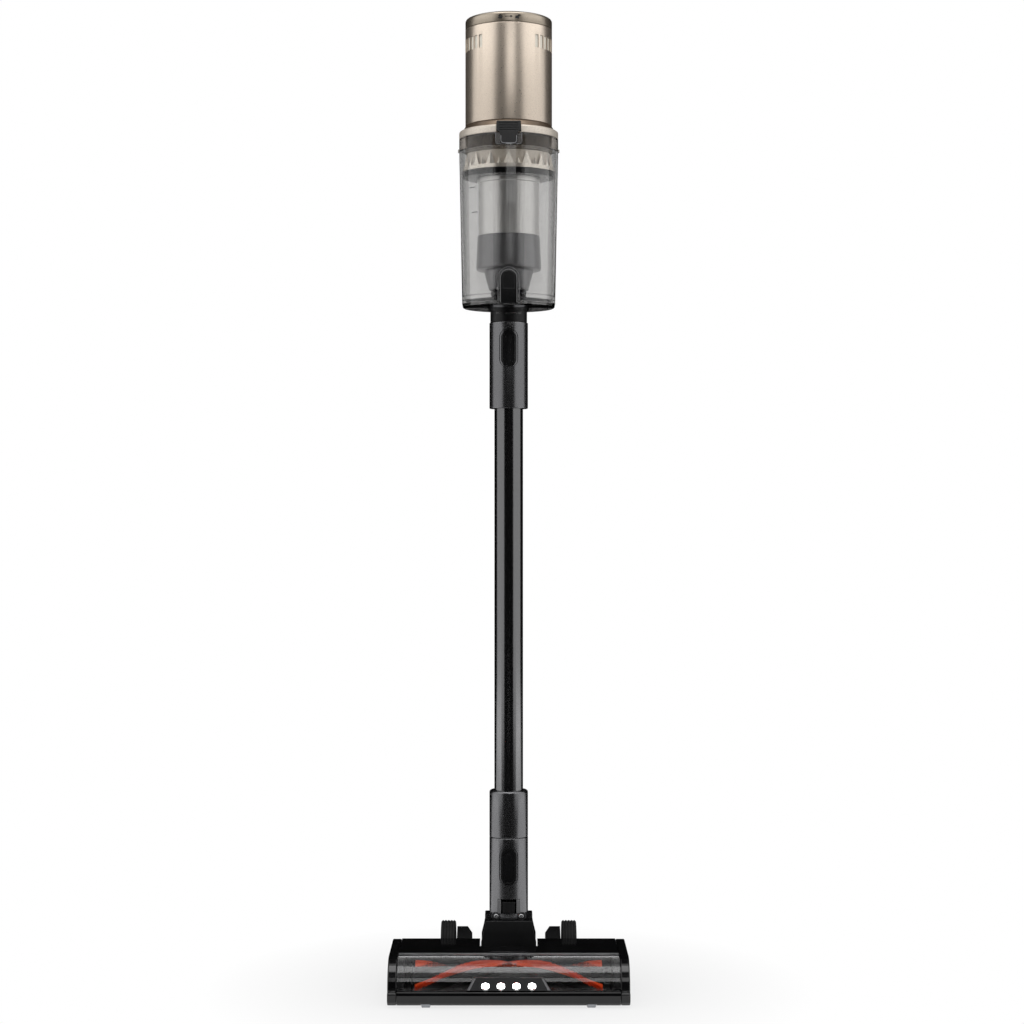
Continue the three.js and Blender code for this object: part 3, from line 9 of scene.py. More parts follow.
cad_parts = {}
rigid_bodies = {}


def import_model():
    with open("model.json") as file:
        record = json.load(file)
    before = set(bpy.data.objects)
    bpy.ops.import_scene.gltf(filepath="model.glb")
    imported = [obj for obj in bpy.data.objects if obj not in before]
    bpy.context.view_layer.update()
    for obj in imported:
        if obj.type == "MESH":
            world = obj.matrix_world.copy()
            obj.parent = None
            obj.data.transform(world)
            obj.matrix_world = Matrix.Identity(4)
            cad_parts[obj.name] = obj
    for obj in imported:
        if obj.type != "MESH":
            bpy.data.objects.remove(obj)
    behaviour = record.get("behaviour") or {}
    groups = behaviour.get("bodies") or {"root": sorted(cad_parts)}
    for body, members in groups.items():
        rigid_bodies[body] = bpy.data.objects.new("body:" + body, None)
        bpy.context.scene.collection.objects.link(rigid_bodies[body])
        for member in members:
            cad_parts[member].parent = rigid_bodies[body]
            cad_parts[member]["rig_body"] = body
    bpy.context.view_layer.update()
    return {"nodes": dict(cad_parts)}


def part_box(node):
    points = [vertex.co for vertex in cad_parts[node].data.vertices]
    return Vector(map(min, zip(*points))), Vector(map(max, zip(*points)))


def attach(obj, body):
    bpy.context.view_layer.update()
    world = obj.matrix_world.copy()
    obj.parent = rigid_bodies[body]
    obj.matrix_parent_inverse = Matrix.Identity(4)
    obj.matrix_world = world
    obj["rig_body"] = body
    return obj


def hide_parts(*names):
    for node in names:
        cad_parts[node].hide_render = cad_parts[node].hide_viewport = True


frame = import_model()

NODES = frame["nodes"]
MM = 0.001
ROUND = 144  # sides of the cup-sized rounds
TUBE = 96  # sides of the wand-sized rounds
PIN = 32  # sides of pins and screws
GAP = 0.3  # room between parts that move or come apart, in millimetres


# ------------------------------------------------------------------ measures
def node_box(name):
    """Lowest and highest corner of a CAD node, in millimetres."""
    low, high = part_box(name)
    return [c / MM for c in low], [c / MM for c in high]


def axis_of(name):
    """Centre (y, z) of a node."""
    low, high = node_box(name)
    return (low[1] + high[1]) / 2, (low[2] + high[2]) / 2


def centre_y(name):
    return axis_of(name)[0]


def radius(name):
    """Half the depth of a round node: its rounds all have a corner on the Y axis."""
    low, high = node_box(name)
    return (high[1] - low[1]) / 2


def heights(name):
    low, high = node_box(name)
    return low[2], high[2]


UNIT_Y = centre_y("motor_housing")


# ------------------------------------------------------------------ meshes
def mesh_of(points, faces):
    """A mesh from points in millimetres."""
    mesh = bpy.data.meshes.new("piece")
    mesh.from_pydata([[c * MM for c in p] for p in points], [], faces)
    work = bmesh.new()
    work.from_mesh(mesh)
    bmesh.ops.remove_doubles(work, verts=work.verts, dist=1e-7)
    bmesh.ops.recalc_face_normals(work, faces=work.faces)
    work.to_mesh(mesh)
    work.free()
    return mesh


def shade(mesh, angle=35):
    """Smooth shading, with edges sharper than angle kept sharp."""
    mesh.polygons.foreach_set("use_smooth", [True] * len(mesh.polygons))
    mesh.set_sharp_from_angle(angle=math.radians(angle))
    return mesh


def linked(data, name="piece"):
    """Shows data in the scene, as a new object."""
    obj = bpy.data.objects.new(name, data)
    bpy.context.scene.collection.objects.link(obj)
    return obj


def solid(points, faces):
    return linked(shade(mesh_of(points, faces)))


def filleted(points, closed=True, steps=4):
    """Rounds the corners of an outline. A point is (a, b) or (a, b, fillet radius)."""
    result = []
    count = len(points)
    for i, point in enumerate(points):
        fillet = point[2] if len(point) > 2 else 0
        end = not closed and i in (0, count - 1)
        here = Vector(point[:2])
        if not fillet or end:
            result.append(tuple(here))
            continue
        before = Vector(points[i - 1][:2]) - here
        after = Vector(points[(i + 1) % count][:2]) - here
        half = before.angle(after) / 2
        reach = min(fillet / math.tan(half), before.length * 0.49, after.length * 0.49)
        start = here + before.normalized() * reach
        stop = here + after.normalized() * reach
        for k in range(steps + 1):
            t = k / steps
            result.append(tuple(start * (1 - t) ** 2 + here * 2 * t * (1 - t) + stop * t**2))
    return result


def upright(r, angle, height, centre):
    """Places a turned point about the vertical axis through (0, centre)."""
    return r * math.sin(angle), centre - r * math.cos(angle), height


def lying(r, angle, along, centre):
    """Places a turned point about an axis along X through centre = (y, z)."""
    return along, centre[0] + r * math.sin(angle), centre[1] - r * math.cos(angle)


def facing(r, angle, along, centre):
    """Places a turned point about an axis along Y through centre = (x, z)."""
    return centre[0] + r * math.cos(angle), along, centre[1] + r * math.sin(angle)


def lathe(profile, centre=0.0, sides=ROUND, place=upright):
    """Turns a profile of (radius, height[, fillet]) points: a closed one, or one from axis to axis."""
    on_axis = profile[0][0] == 0 and profile[-1][0] == 0
    points = []
    rings = []
    for r, height in filleted(profile, closed=not on_axis):
        count = 1 if r < 1e-6 else sides
        rings.append(list(range(len(points), len(points) + count)))
        points += [place(r, 2 * math.pi * i / sides, height, centre) for i in range(count)]
    pairs = list(zip(rings, rings[1:]))
    if not on_axis:
        pairs.append((rings[-1], rings[0]))
    faces = []
    for low, high in pairs:
        for i in range(sides):
            j = (i + 1) % sides
            corners = [ring[k % len(ring)] for ring, k in ((low, i), (low, j), (high, j), (high, i))]
            face = list(dict.fromkeys(corners))
            if len(face) > 2:
                faces.append(face)
    return solid(points, faces)


def along_x(a, b, depth):
    return depth, a, b


def along_y(a, b, depth):
    return a, depth, b


def prism(outline, place, start, stop):
    """Draws an outline out between start and stop. place turns (a, b, depth) into a point."""
    corners = filleted(outline)
    count = len(corners)
    points = [place(a, b, start) for a, b in corners] + [place(a, b, stop) for a, b in corners]
    faces = [list(range(count)), list(range(2 * count - 1, count - 1, -1))]
    for i in range(count):
        j = (i + 1) % count
        faces.append([i, j, j + count, i + count])
    return solid(points, faces)


def block(x0, x1, y0, y1, z0, z1):
    """A box. x0 and x1 may be given either way round, here and in bar_x."""
    return prism([(y0, z0), (y1, z0), (y1, z1), (y0, z1)], along_x, *sorted((x0, x1)))


def box_of(node):
    """A block that fills a node's box."""
    low, high = node_box(node)
    return block(low[0], high[0], low[1], high[1], low[2], high[2])


def arc(centre, r, start, stop, steps=24):
    """Points on an arc, with angles in degrees from the first axis."""
    turn = [math.radians(start + (stop - start) * i / steps) for i in range(steps + 1)]
    return [(centre[0] + r * math.cos(t), centre[1] + r * math.sin(t)) for t in turn]


def bar_x(r, x0, x1, y, z, sides=48):
    return prism(arc((y, z), r, 0, 360, sides)[:-1], along_x, *sorted((x0, x1)))


def bar_y(r, y0, y1, x, z, sides=48):
    return prism(arc((x, z), r, 0, 360, sides)[:-1], along_y, y0, y1)


def tube(r, bore, z0, z1, centre=0.0, sides=ROUND):
    return lathe([(bore, z0), (r, z0), (r, z1), (bore, z1)], centre, sides)


def disc(r, z0, z1, centre=0.0, sides=ROUND):
    return lathe([(0, z0), (r, z0), (r, z1), (0, z1)], centre, sides)


def panel(half, low, high, foot=0, head=0):
    """An upright rectangle about the middle plane, with fillets at its foot and head."""
    return [(-half, low, foot), (half, low, foot), (half, high, head), (-half, high, head)]


def obround(width, height, z):
    """An upright slot about the middle plane."""
    r = width / 2
    reach = height / 2 - r
    return arc((0, z + reach), r, 0, 180) + arc((0, z - reach), r, 180, 360)


def arch(half, low, high):
    """An arch about the middle plane."""
    return [(-half, low), (half, low)] + arc((0, high - half), half, 0, 180)


def soften(obj, width, segments=2):
    """Rounds the sharp edges of a piece with a modifier."""
    bevel = obj.modifiers.new("Bevel", "BEVEL")
    bevel.width = width * MM
    bevel.segments = segments
    bevel.limit_method = "ANGLE"
    bevel.angle_limit = math.radians(32)
    return obj


def freeze(obj):
    """Applies a piece's modifiers."""
    graph = bpy.context.evaluated_depsgraph_get()
    mesh = bpy.data.meshes.new_from_object(obj.evaluated_get(graph))
    obj.modifiers.clear()
    obj.data = shade(mesh)
    return obj


def combine(obj, others, operation):
    for other in others:
        step = obj.modifiers.new("Boolean", "BOOLEAN")
        step.operation = operation
        step.solver = "EXACT"
        step.object = other
    freeze(obj)
    for other in others:
        bpy.data.objects.remove(other)
    work = bmesh.new()
    work.from_mesh(obj.data)
    bmesh.ops.remove_doubles(work, verts=work.verts, dist=1e-6)
    bmesh.ops.dissolve_degenerate(work, dist=1e-6, edges=work.edges)
    work.to_mesh(obj.data)
    work.free()
    shade(obj.data)
    return obj


def carve(obj, *tools):
    return combine(obj, tools, "DIFFERENCE")


def fuse(obj, *others):
    return combine(obj, others, "UNION")


def shared(obj, *others):
    return combine(obj, others, "INTERSECT")


def turned(obj, degrees, y=0.0):
    """Turns a mesh about the vertical axis through (0, y)."""
    centre = Matrix.Translation((0, y * MM, 0))
    obj.data.transform(centre @ Matrix.Rotation(math.radians(degrees), 4, "Z") @ centre.inverted())
    return obj


def mirrored(obj):
    """Moves a piece to the other side of the middle plane."""
    obj.data.transform(Matrix.Diagonal((-1, 1, 1, 1)))
    obj.data.flip_normals()
    return obj


def joined(pieces):
    """One object of several separate shells."""
    work = bmesh.new()
    for piece in pieces:
        work.from_mesh(piece.data)
    mesh = bpy.data.meshes.new("piece")
    work.to_mesh(mesh)
    work.free()
    for piece in pieces:
        bpy.data.objects.remove(piece)
    return linked(shade(mesh))


def copy_of(node):
    """A clean copy of a CAD node: welded, with its flat faces whole again."""
    work = bmesh.new()
    work.from_mesh(NODES[node].data)
    bmesh.ops.remove_doubles(work, verts=work.verts, dist=2e-6)
    bmesh.ops.dissolve_limit(work, angle_limit=math.radians(0.5), verts=work.verts, edges=work.edges)
    mesh = bpy.data.meshes.new(node)
    work.to_mesh(mesh)
    work.free()
    if "custom_normal" in mesh.attributes:
        mesh.attributes.remove(mesh.attributes["custom_normal"])
    return linked(shade(mesh, 40))


def paint(obj, material):
    obj.data.materials.clear()
    obj.data.materials.append(material)


def add(name, obj, material, node, bevel=0.0, segments=2):
    """Adds a piece on the body of the node it belongs to, painted with the given material."""
    obj.name = obj.data.name = name
    paint(obj, material)
    if bevel:
        soften(obj, bevel, segments)
    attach(obj, NODES[node]["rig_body"])
    return obj


def put(node, obj, material, bevel=0.0, segments=2):
    """Shows obj in place of a CAD node. Where obj is None, a clean copy of the node is shown."""
    obj = obj or copy_of(node)
    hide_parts(node)
    add(node + "_detail", obj, material, node, bevel, segments)


# ------------------------------------------------------------------ materials
class Nodes:
    """A small helper for a material's node tree."""

    def __init__(self, name):
        self.material = bpy.data.materials.new(name)
        self.material.use_nodes = True
        self.tree = self.material.node_tree
        self.shader = self.tree.nodes["Principled BSDF"]
        self.place = self.add("TexCoord").outputs["Object"]

    def add(self, kind, **values):
        node = self.tree.nodes.new("ShaderNode" + kind)
        for key, value in values.items():
            if hasattr(node, key):
                setattr(node, key, value)
            else:
                node.inputs[key.replace("_", " ")].default_value = value
        return node

    def link(self, source, target):
        self.tree.links.new(source, target)

    def drive(self, name, source):
        """Links an input of the shader."""
        self.link(source, self.shader.inputs[name])

    def set(self, **values):
        for key, value in values.items():
            self.shader.inputs[key.replace("_", " ")].default_value = value

    def maths(self, operation, first, second):
        """One sum. Each side is a link or a number."""
        node = self.add("Math", operation=operation)
        for value, target in zip((first, second), node.inputs):
            if isinstance(value, float):
                target.default_value = value
            else:
                self.link(value, target)
        return node.outputs[0]

    def cells(self, scale, place=None, **values):
        """Voronoi cells."""
        node = self.add("TexVoronoi", Scale=scale, **values)
        self.link(place or self.place, node.inputs["Vector"])
        return node.outputs

    def noise(self, scale, detail=3.0, roughness=0.5):
        node = self.add("TexNoise", Scale=scale, Detail=detail, Roughness=roughness)
        self.link(self.place, node.inputs["Vector"])
        return node.outputs["Fac"]

    def spread(self, source, low, high, start=0.3, stop=0.7):
        """Maps a 0 to 1 value to low to high."""
        node = self.add("MapRange")
        for key, value in zip(("From Min", "From Max", "To Min", "To Max"), (start, stop, low, high)):
            node.inputs[key].default_value = value
        self.link(source, node.inputs["Value"])
        return node.outputs["Result"]

    def mix(self, factor, first, second):
        node = self.add("Mix", data_type="RGBA")
        self.link(factor, node.inputs["Factor"])
        node.inputs["A"].default_value = (*first, 1)
        node.inputs["B"].default_value = (*second, 1)
        return node.outputs["Result"]

    def bump(self, source, strength, distance):
        node = self.add("Bump", Strength=strength, Distance=distance)
        self.link(source, node.inputs["Height"])
        self.drive("Normal", node.outputs["Normal"])

    def show(self, factor, first, second):
        """Shows a blend of two shaders."""
        blend = self.add("MixShader")
        self.link(factor, blend.inputs["Fac"])
        self.link(first, blend.inputs[1])
        self.link(second, blend.inputs[2])
        output = next(n for n in self.tree.nodes if n.type == "OUTPUT_MATERIAL")
        self.link(blend.outputs["Shader"], output.inputs["Surface"])


def linear(shade):
    """An sRGB colour, 0 to 255, as linear values."""
    return tuple(((c / 255 + 0.055) / 1.055) ** 2.4 if c > 10 else c / 255 / 12.92 for c in shade)


def moulded(name, shade, rough, grain=900.0, depth=0.06, specular=0.5):
    """Moulded plastic: a fine spark-eroded grain, with slightly uneven gloss."""
    m = Nodes(name)
    shade = linear(shade)
    light = tuple(min(1.0, c * 1.25 + 0.002) for c in shade)
    m.drive("Base Color", m.mix(m.spread(m.noise(35.0), 0, 1), shade, light))
    m.drive("Roughness", m.spread(m.noise(60.0, 4.0), rough * 0.9, rough * 1.12))
    m.bump(m.noise(grain * 2, 2.0), depth, 0.0002)
    m.set(Specular_IOR_Level=specular)
    return m.material


def metallic_paint(name, shade, rough, flake=2500.0, metal=0.85):
    """Metallic paint: flakes that vary the colour a little, under a clear coat."""
    m = Nodes(name)
    grey = m.add("SeparateColor")
    m.link(m.cells(flake)["Color"], grey.inputs["Color"])
    shade = linear(shade)
    dark = tuple(c * 0.9 for c in shade)
    light = tuple(min(1.0, c * 1.08) for c in shade)
    m.drive("Base Color", m.mix(grey.outputs["Red"], dark, light))
    m.drive("Roughness", m.spread(m.noise(flake / 3), rough * 0.9, rough * 1.15))
    m.bump(grey.outputs["Green"], 0.05, 0.0001)
    m.set(Metallic=metal, Coat_Weight=0.25, Coat_Roughness=0.12)
    return m.material


def clear(name, shade, rough=0.03, ior=1.46):
    """Transparent moulded plastic, with faint flow marks. The lamps light what is behind it."""
    m = Nodes(name)
    through = m.add("BsdfTransparent")
    through.inputs["Color"].default_value = (*[c**0.5 for c in shade], 1)
    path = m.add("LightPath")
    m.show(path.outputs["Is Shadow Ray"], m.shader.outputs["BSDF"], through.outputs["BSDF"])
    m.drive("Roughness", m.spread(m.noise(25.0), rough * 0.6, rough * 1.6))
    m.bump(m.noise(18.0, 1.0), 0.02, 0.0004)
    slant = m.add("LayerWeight", Blend=0.5)
    edge = tuple(c * 0.3 for c in shade)
    m.drive("Base Color", m.mix(m.spread(slant.outputs["Facing"], 0, 1, 0.5, 0.85), shade, edge))
    m.set(Transmission_Weight=1.0, IOR=ior)
    return m.material


def metal(name, shade, rough, grain=(400.0, 400.0, 8.0)):
    """Bare metal with drawn or brushed grain."""
    m = Nodes(name)
    stretch = m.add("Mapping")
    stretch.inputs["Scale"].default_value = grain
    m.link(m.place, stretch.inputs["Vector"])
    streaks = m.add("TexNoise", Scale=4.0, Detail=4.0)
    m.link(stretch.outputs["Vector"], streaks.inputs["Vector"])
    m.drive("Roughness", m.spread(streaks.outputs["Fac"], rough * 0.75, rough * 1.3))
    m.bump(streaks.outputs["Fac"], 0.05, 0.0001)
    m.set(Base_Color=(*shade, 1), Metallic=1.0)
    return m.material


def sieve(name, shade, pitch, y):
    """Etched steel mesh: round holes in rows, on a cylinder about the vertical axis through (0, y)."""
    m = Nodes(name)
    place = m.add("SeparateXYZ")
    m.link(m.place, place.inputs["Vector"])
    across = m.maths("SUBTRACT", place.outputs["Y"], y * MM)
    angle = m.maths("ARCTAN2", place.outputs["X"], across)
    flat = m.add("CombineXYZ")
    m.link(m.maths("MULTIPLY", angle, radius("mesh_filter") * MM), flat.inputs["X"])
    m.link(place.outputs["Z"], flat.inputs["Y"])
    dots = m.cells(1 / (pitch * MM), flat.outputs["Vector"], Randomness=0.0)["Distance"]
    hole = m.spread(dots, 1, 0, 0.27, 0.33)
    m.drive("Base Color", m.mix(hole, shade, (0.01, 0.01, 0.01)))
    m.drive("Roughness", m.spread(hole, 0.28, 0.6, 0, 1))
    m.bump(dots, 0.25, 0.0002)
    m.set(Metallic=0.95)
    return m.material


def pleated(name, shade):
    """Filter paper: soft fibres."""
    m = Nodes(name)
    shade = linear(shade)
    dark = tuple(c * 0.85 for c in shade)
    m.drive("Base Color", m.mix(m.spread(m.noise(700.0, 5.0), 0, 1), dark, shade))
    m.bump(m.noise(1500.0, 4.0), 0.4, 0.0002)
    m.set(Roughness=0.9, Sheen_Weight=0.2)
    return m.material


def sponge(name, shade):
    """Open-cell foam."""
    m = Nodes(name)
    cells = m.cells(900.0)["Distance"]
    shade = linear(shade)
    dark = tuple(c * 0.3 for c in shade)
    m.drive("Base Color", m.mix(m.spread(cells, 0, 1, 0.1, 0.6), shade, dark))
    m.bump(cells, 0.8, 0.0005)
    m.set(Roughness=0.95)
    return m.material


def lamp_material(name, strength):
    """A lit white lamp."""
    m = Nodes(name)
    m.drive("Base Color", m.mix(m.spread(m.noise(300.0), 0, 1), (0.95, 0.97, 1.0), (1, 1, 1)))
    m.set(Emission_Color=(1, 1, 1, 1), Emission_Strength=strength, Roughness=0.25)
    return m.material


def circuit(name):
    """A printed circuit board with tracks."""
    m = Nodes(name)
    tracks = m.add("TexBrick", Scale=120.0, Mortar_Size=0.08)
    tracks.inputs["Color1"].default_value = (0.01, 0.12, 0.05, 1)
    tracks.inputs["Color2"].default_value = (0.01, 0.15, 0.06, 1)
    tracks.inputs["Mortar"].default_value = (0.35, 0.25, 0.08, 1)
    m.link(m.place, tracks.inputs["Vector"])
    m.drive("Base Color", tracks.outputs["Color"])
    m.set(Roughness=0.35)
    return m.material


SATIN = moulded("black_satin", (15, 15, 16), 0.4, specular=0.3)
GLOSS_SATIN = moulded("black_semi_gloss", (13, 13, 14), 0.22, depth=0.02, specular=0.4)
DARK_GREY = moulded("dark_grey_plastic", (33, 33, 34), 0.4, specular=0.4)
MID_GREY = moulded("mid_grey_plastic", (104, 104, 105), 0.4)
SLEEVE = metallic_paint("graphite_satin", (118, 118, 120), 0.26, metal=0.97)
GLOSS = moulded("black_gloss", (9, 9, 10), 0.09, depth=0.01)
COATED = metallic_paint("black_coating", (118, 118, 119), 0.15, 3000.0, metal=0.98)
GRAPHITE = metallic_paint("graphite_moulding", (124, 124, 126), 0.3, metal=0.92)
CHAMPAGNE = metallic_paint("champagne_paint", (214, 200, 184), 0.3, metal=0.9)
CHAMPAGNE_CAP = metallic_paint("champagne_cap", (166, 155, 140), 0.3, metal=0.9)
CHAMPAGNE_GRAIN = metallic_paint("champagne_grain", (222, 212, 199), 0.45, 1100.0, metal=0.5)
# Brown that paints the shade in the recess between the collar and the motor housing.
RECESS_SHADE_BROWN = metallic_paint("recess_painted_shade", (112, 96, 80), 0.42)
CROWN = metallic_paint("champagne_crown", (240, 232, 220), 0.2, 3000.0, metal=0.7)
SMOKE = clear("smoky_clear", (0.63, 0.627, 0.62))
SMOKE_RIM = clear("smoky_rim", (0.3, 0.275, 0.25), rough=0.06)
WINDOW_CLEAR = clear("window_clear", (0.72, 0.72, 0.72))
ORANGE = moulded("orange_strip", (240, 80, 24), 0.5, grain=500.0, depth=0.15)
BRISTLE = moulded("black_bristle", (18, 18, 18), 0.6)
RUBBER = moulded("black_rubber", (22, 22, 22), 0.75, grain=400.0, depth=0.2, specular=0.3)
PALE = moulded("pale_grey", (176, 179, 184), 0.45)
# Silver. It also draws thin lines that are painted highlights: along the cover's front edge, round the
# latches and round the rocker's pocket.
TRIM_AND_HIGHLIGHT = metallic_paint("silver_trim_and_painted_highlight", (150, 150, 152), 0.3)
MESH_STEEL = sieve("mesh_steel", (0.98, 0.97, 0.96), 0.9, UNIT_Y)
STEEL = metal("turned_steel", (0.6, 0.6, 0.61), 0.28)
PAPER = pleated("filter_paper", (244, 238, 224))
FOAM = sponge("filter_foam", (196, 186, 170))
LAMP = lamp_material("lamp", 6.0)
BOARD = circuit("circuit_board")


# ------------------------------------------------------------------ floor head
HEAD_LOW, HEAD_HIGH = node_box("end_cap_right")
CHASSIS = node_box("head_top_cover")[1][0]  # half width of the head between its end caps
WINDOW_R = 32
WINDOW_HIGH = node_box("brush_window")[1]
WINDOW_BACK = 6.5  # flat part of the window behind the top of its arc
WINDOW = (WINDOW_HIGH[1] - WINDOW_BACK, WINDOW_HIGH[2] - WINDOW_R)  # axis of the window's arc, (y, z)
BUMPER_LOW, BUMPER_HIGH = node_box("front_bumper")
BRUSH_LOW, BRUSH_HIGH = node_box("brush_core")
BRUSH = axis_of("brush_core")
BRUSH_R = 21.5
CORE_R = (BRUSH_HIGH[2] - BRUSH_LOW[2]) / 2
STRIP_TURN = 1.47  # degrees that a strip winds for each millimetre of width
FRONT, REAR = HEAD_LOW[1], HEAD_HIGH[1]
LED_LOW, LED_HIGH = node_box("led_housing")
LAMP_LOW, LAMP_HIGH = node_box("led_strip")
LAMP_Z = axis_of("led_strip")[1]
LAMPS = [(i - 1.5) * 16.6 for i in range(4)]  # where the four lamps stand
SIDES = ((-1, "left"), (1, "right"))


def end_cap(side):
    top, low = HEAD_HIGH[2], HEAD_LOW[2]
    outline = [(REAR, low, 2), (REAR, top, 3), (WINDOW[0], top)]
    outline += arc(WINDOW, top - WINDOW[1], 90, 180, 40)[1:]
    outline += [(FRONT + 1.2, WINDOW[1]), (FRONT, BUMPER_HIGH[2] - 4, 2)]
    outline += [(FRONT, low + 4, 2), (FRONT + 4, low, 2)]
    cap = prism(outline, along_x, CHASSIS + GAP, HEAD_HIGH[0])
    return cap if side > 0 else mirrored(cap)


def window_shell():
    high = math.degrees(math.asin(WINDOW_BACK / WINDOW_R))
    low = math.degrees(math.acos((BUMPER_HIGH[2] + GAP - WINDOW[1]) / WINDOW_R))
    outer = arc(WINDOW, WINDOW_R, 90 - high, 90 + low, 56)
    inner = arc(WINDOW, WINDOW_R - 2, 90 + low, 90 - high, 56)
    return prism(outer + inner, along_x, -CHASSIS, CHASSIS)


def bumper():
    low, high, back = BUMPER_LOW[2], BUMPER_HIGH[2], BUMPER_HIGH[1]
    outline = [(back, low), (back, high - 7), (FRONT + 8, high - 0.6), (FRONT + 4, high, 1.5),
               (FRONT + 0.6, high - 1.6, 1.5), (FRONT, high - 5, 2), (FRONT, low + 3, 2), (FRONT + 3, low, 2)]
    bar = prism(outline, along_x, -CHASSIS, CHASSIS)
    tools = []
    for node in ("front_roller_left", "front_roller_right"):
        a, b = node_box(node)
        tools.append(block(a[0] + 2.2, b[0] - 2.2, a[1] - GAP, back + 1, -1, b[2] + 1))
        tools.append(bar_x(2.3, a[0] - 0.75, b[0] + 0.75, centre_y(node), b[2] / 2))
    return carve(bar, *tools)


def led_frame():
    low, high = LED_LOW, LED_HIGH
    back = high[1] + 4
    outline = [(-45, low[2]), (45, low[2]), (37, high[2], 2), (-37, high[2], 2)]
    face = prism(outline, along_y, FRONT, back)
    slope = [(low[1], low[2]), (low[1] + 4, high[2]), (back, high[2]), (back, low[2])]
    shell = shared(face, prism(slope, along_x, -46, 46))
    holes = [bar_y(4.2, FRONT, LAMP_LOW[1] + 5, x, LAMP_Z) for x in LAMPS]
    behind = bar_x(WINDOW_R + GAP, -50, 50, *WINDOW, sides=128)
    x0, x1 = LAMP_LOW[0] - GAP, LAMP_HIGH[0] + GAP
    cavity = block(x0, x1, LAMP_LOW[1] + 1.4, back, LAMP_Z - 2.8, LAMP_Z + 2.8)
    return carve(shell, behind, cavity, *holes)


def led_edge(side):
    """A bright bar along a slanting end of the lamp housing."""
    low, high = LED_LOW, LED_HIGH
    outline = [(41.6, low[2] + 0.4), (44.6, low[2] + 0.4), (37.2, high[2] - 0.5), (35.2, high[2] - 0.5)]
    points = []
    for x, z in outline:
        slope = 4 * (z - low[2]) / (high[2] - low[2])
        points += [(side * x, low[1] + slope - 0.25, z), (side * x, low[1] + slope + 1.2, z)]
    faces = [(0, 2, 4, 6), (7, 5, 3, 1), (0, 1, 3, 2), (2, 3, 5, 4), (4, 5, 7, 6), (6, 7, 1, 0)]
    return solid(points, faces)


def led_strip():
    """A bar with the four lenses."""
    front, back = LAMP_LOW[1], LAMP_HIGH[1] - 0.2
    profile = [(0, front), (2.1, front + 0.15), (3.2, front + 1.2, 0.5), (3.2, back), (0, back)]
    bar = block(LAMP_LOW[0], LAMP_HIGH[0], front + 1.7, LAMP_HIGH[1], LAMP_Z - 2.5, LAMP_Z + 2.5)
    return joined([bar] + [lathe(profile, (x, LAMP_Z), 48, facing) for x in LAMPS])


def helix(start, tip, half_angle, steps=96):
    """A fin wound round the roller's core. It winds one way on the left and the other way on the right."""
    half = node_box("brush_strip_1")[1][0]
    inner = CORE_R + 0.5
    section = [(inner, -half_angle), (tip - 0.6, -half_angle * 0.6), (tip, -half_angle * 0.4),
               (tip, half_angle * 0.4), (tip - 0.6, half_angle * 0.6), (inner, half_angle)]
    count = len(section)
    points = []
    for i in range(steps + 1):
        x = -half + 2 * half * i / steps
        for r, lean in section:
            angle = math.radians(start + lean - abs(x) * STRIP_TURN)
            points.append((x, BRUSH[0] + r * math.sin(angle), BRUSH[1] + r * math.cos(angle)))
    faces = [list(range(count)), list(range(len(points) - 1, len(points) - 1 - count, -1))]
    for i in range(steps):
        for j in range(count):
            k = (j + 1) % count
            faces.append([i * count + j, i * count + k, (i + 1) * count + k, (i + 1) * count + j])
    return solid(points, faces)


def fibres(start, root, tip, half_angle, pitch, rows, thick, draw):
    """Rows of thin bristles that stand on the roller along a winding line."""
    half = node_box("brush_strip_1")[1][0] - 0.5
    points = []
    faces = []
    count = int(2 * half / pitch)
    for i in range(count + 1):
        for row in range(rows):
            x = -half + i * pitch + draw.uniform(-0.3, 0.3) * pitch
            across = (row - (rows - 1) / 2) / max(rows - 1, 1) * 2 * half_angle + draw.uniform(-0.8, 0.8)
            angle = start + across - abs(x) * STRIP_TURN
            lean = draw.uniform(-3.5, 3.5)
            end = tip - draw.uniform(0, 0.5)
            first = len(points)
            for r, width, extra in ((root, thick, 0), (end, thick * 0.8, lean)):
                for corner in range(3):
                    turn = corner * 2 * math.pi / 3
                    a = math.radians(angle + extra) + width * math.cos(turn) / r
                    place = x + width * math.sin(turn) + extra * 0.05
                    points.append((place, BRUSH[0] + r * math.sin(a), BRUSH[1] + r * math.cos(a)))
            for c in range(3):
                d = (c + 1) % 3
                faces.append([first + c, first + d, first + 3 + d, first + 3 + c])
            faces += [[first + 2, first + 1, first], [first + 3, first + 4, first + 5]]
    return solid(points, faces)


def comb():
    low, high = node_box("hair_comb")
    pitch = 3.9
    bar = block(low[0], high[0], low[1] + 5.2, high[1], low[2], high[2])
    teeth = []
    count = int((high[0] - low[0] - 4) / pitch)
    sides = [(3, 2, 1, 0), (4, 5, 6, 7), (0, 1, 5, 4), (1, 2, 6, 5), (2, 3, 7, 6), (3, 0, 4, 7)]
    for i in range(count + 1):
        x = (i - count / 2) * pitch
        foot = [(x - 1, low[1] + 5.4), (x + 1, low[1] + 5.4), (x + 0.45, low[1]), (x - 0.45, low[1])]
        teeth.append(solid([(a, b, z) for z in (low[2] + 0.1, high[2] - 0.1) for a, b in foot], sides))
    return joined([bar] + teeth)


def wheel(node):
    low, high = node_box(node)
    r = (high[2] - low[2]) / 2
    x0, x1 = low[0], high[0]
    profile = [(5.3, x0 + 1), (r - 8, x0 + 1, 0.5), (r - 7, x0, 0.5), (r - 1.5, x0, 1), (r, x0 + 1.5, 1)]
    groove = (x1 - x0) / 5
    for i in range(1, 5):
        x = x0 + i * groove
        profile += [(r, x - 0.7, 0.2), (r - 0.9, x - 0.4), (r - 0.9, x + 0.4), (r, x + 0.7, 0.2)]
    profile += [(r, x1 - 1.5, 1), (r - 1.5, x1, 1), (r - 7, x1, 0.5), (r - 8, x1 - 1, 0.5), (5.3, x1 - 1)]
    return lathe(profile, axis_of(node), 96, lying)


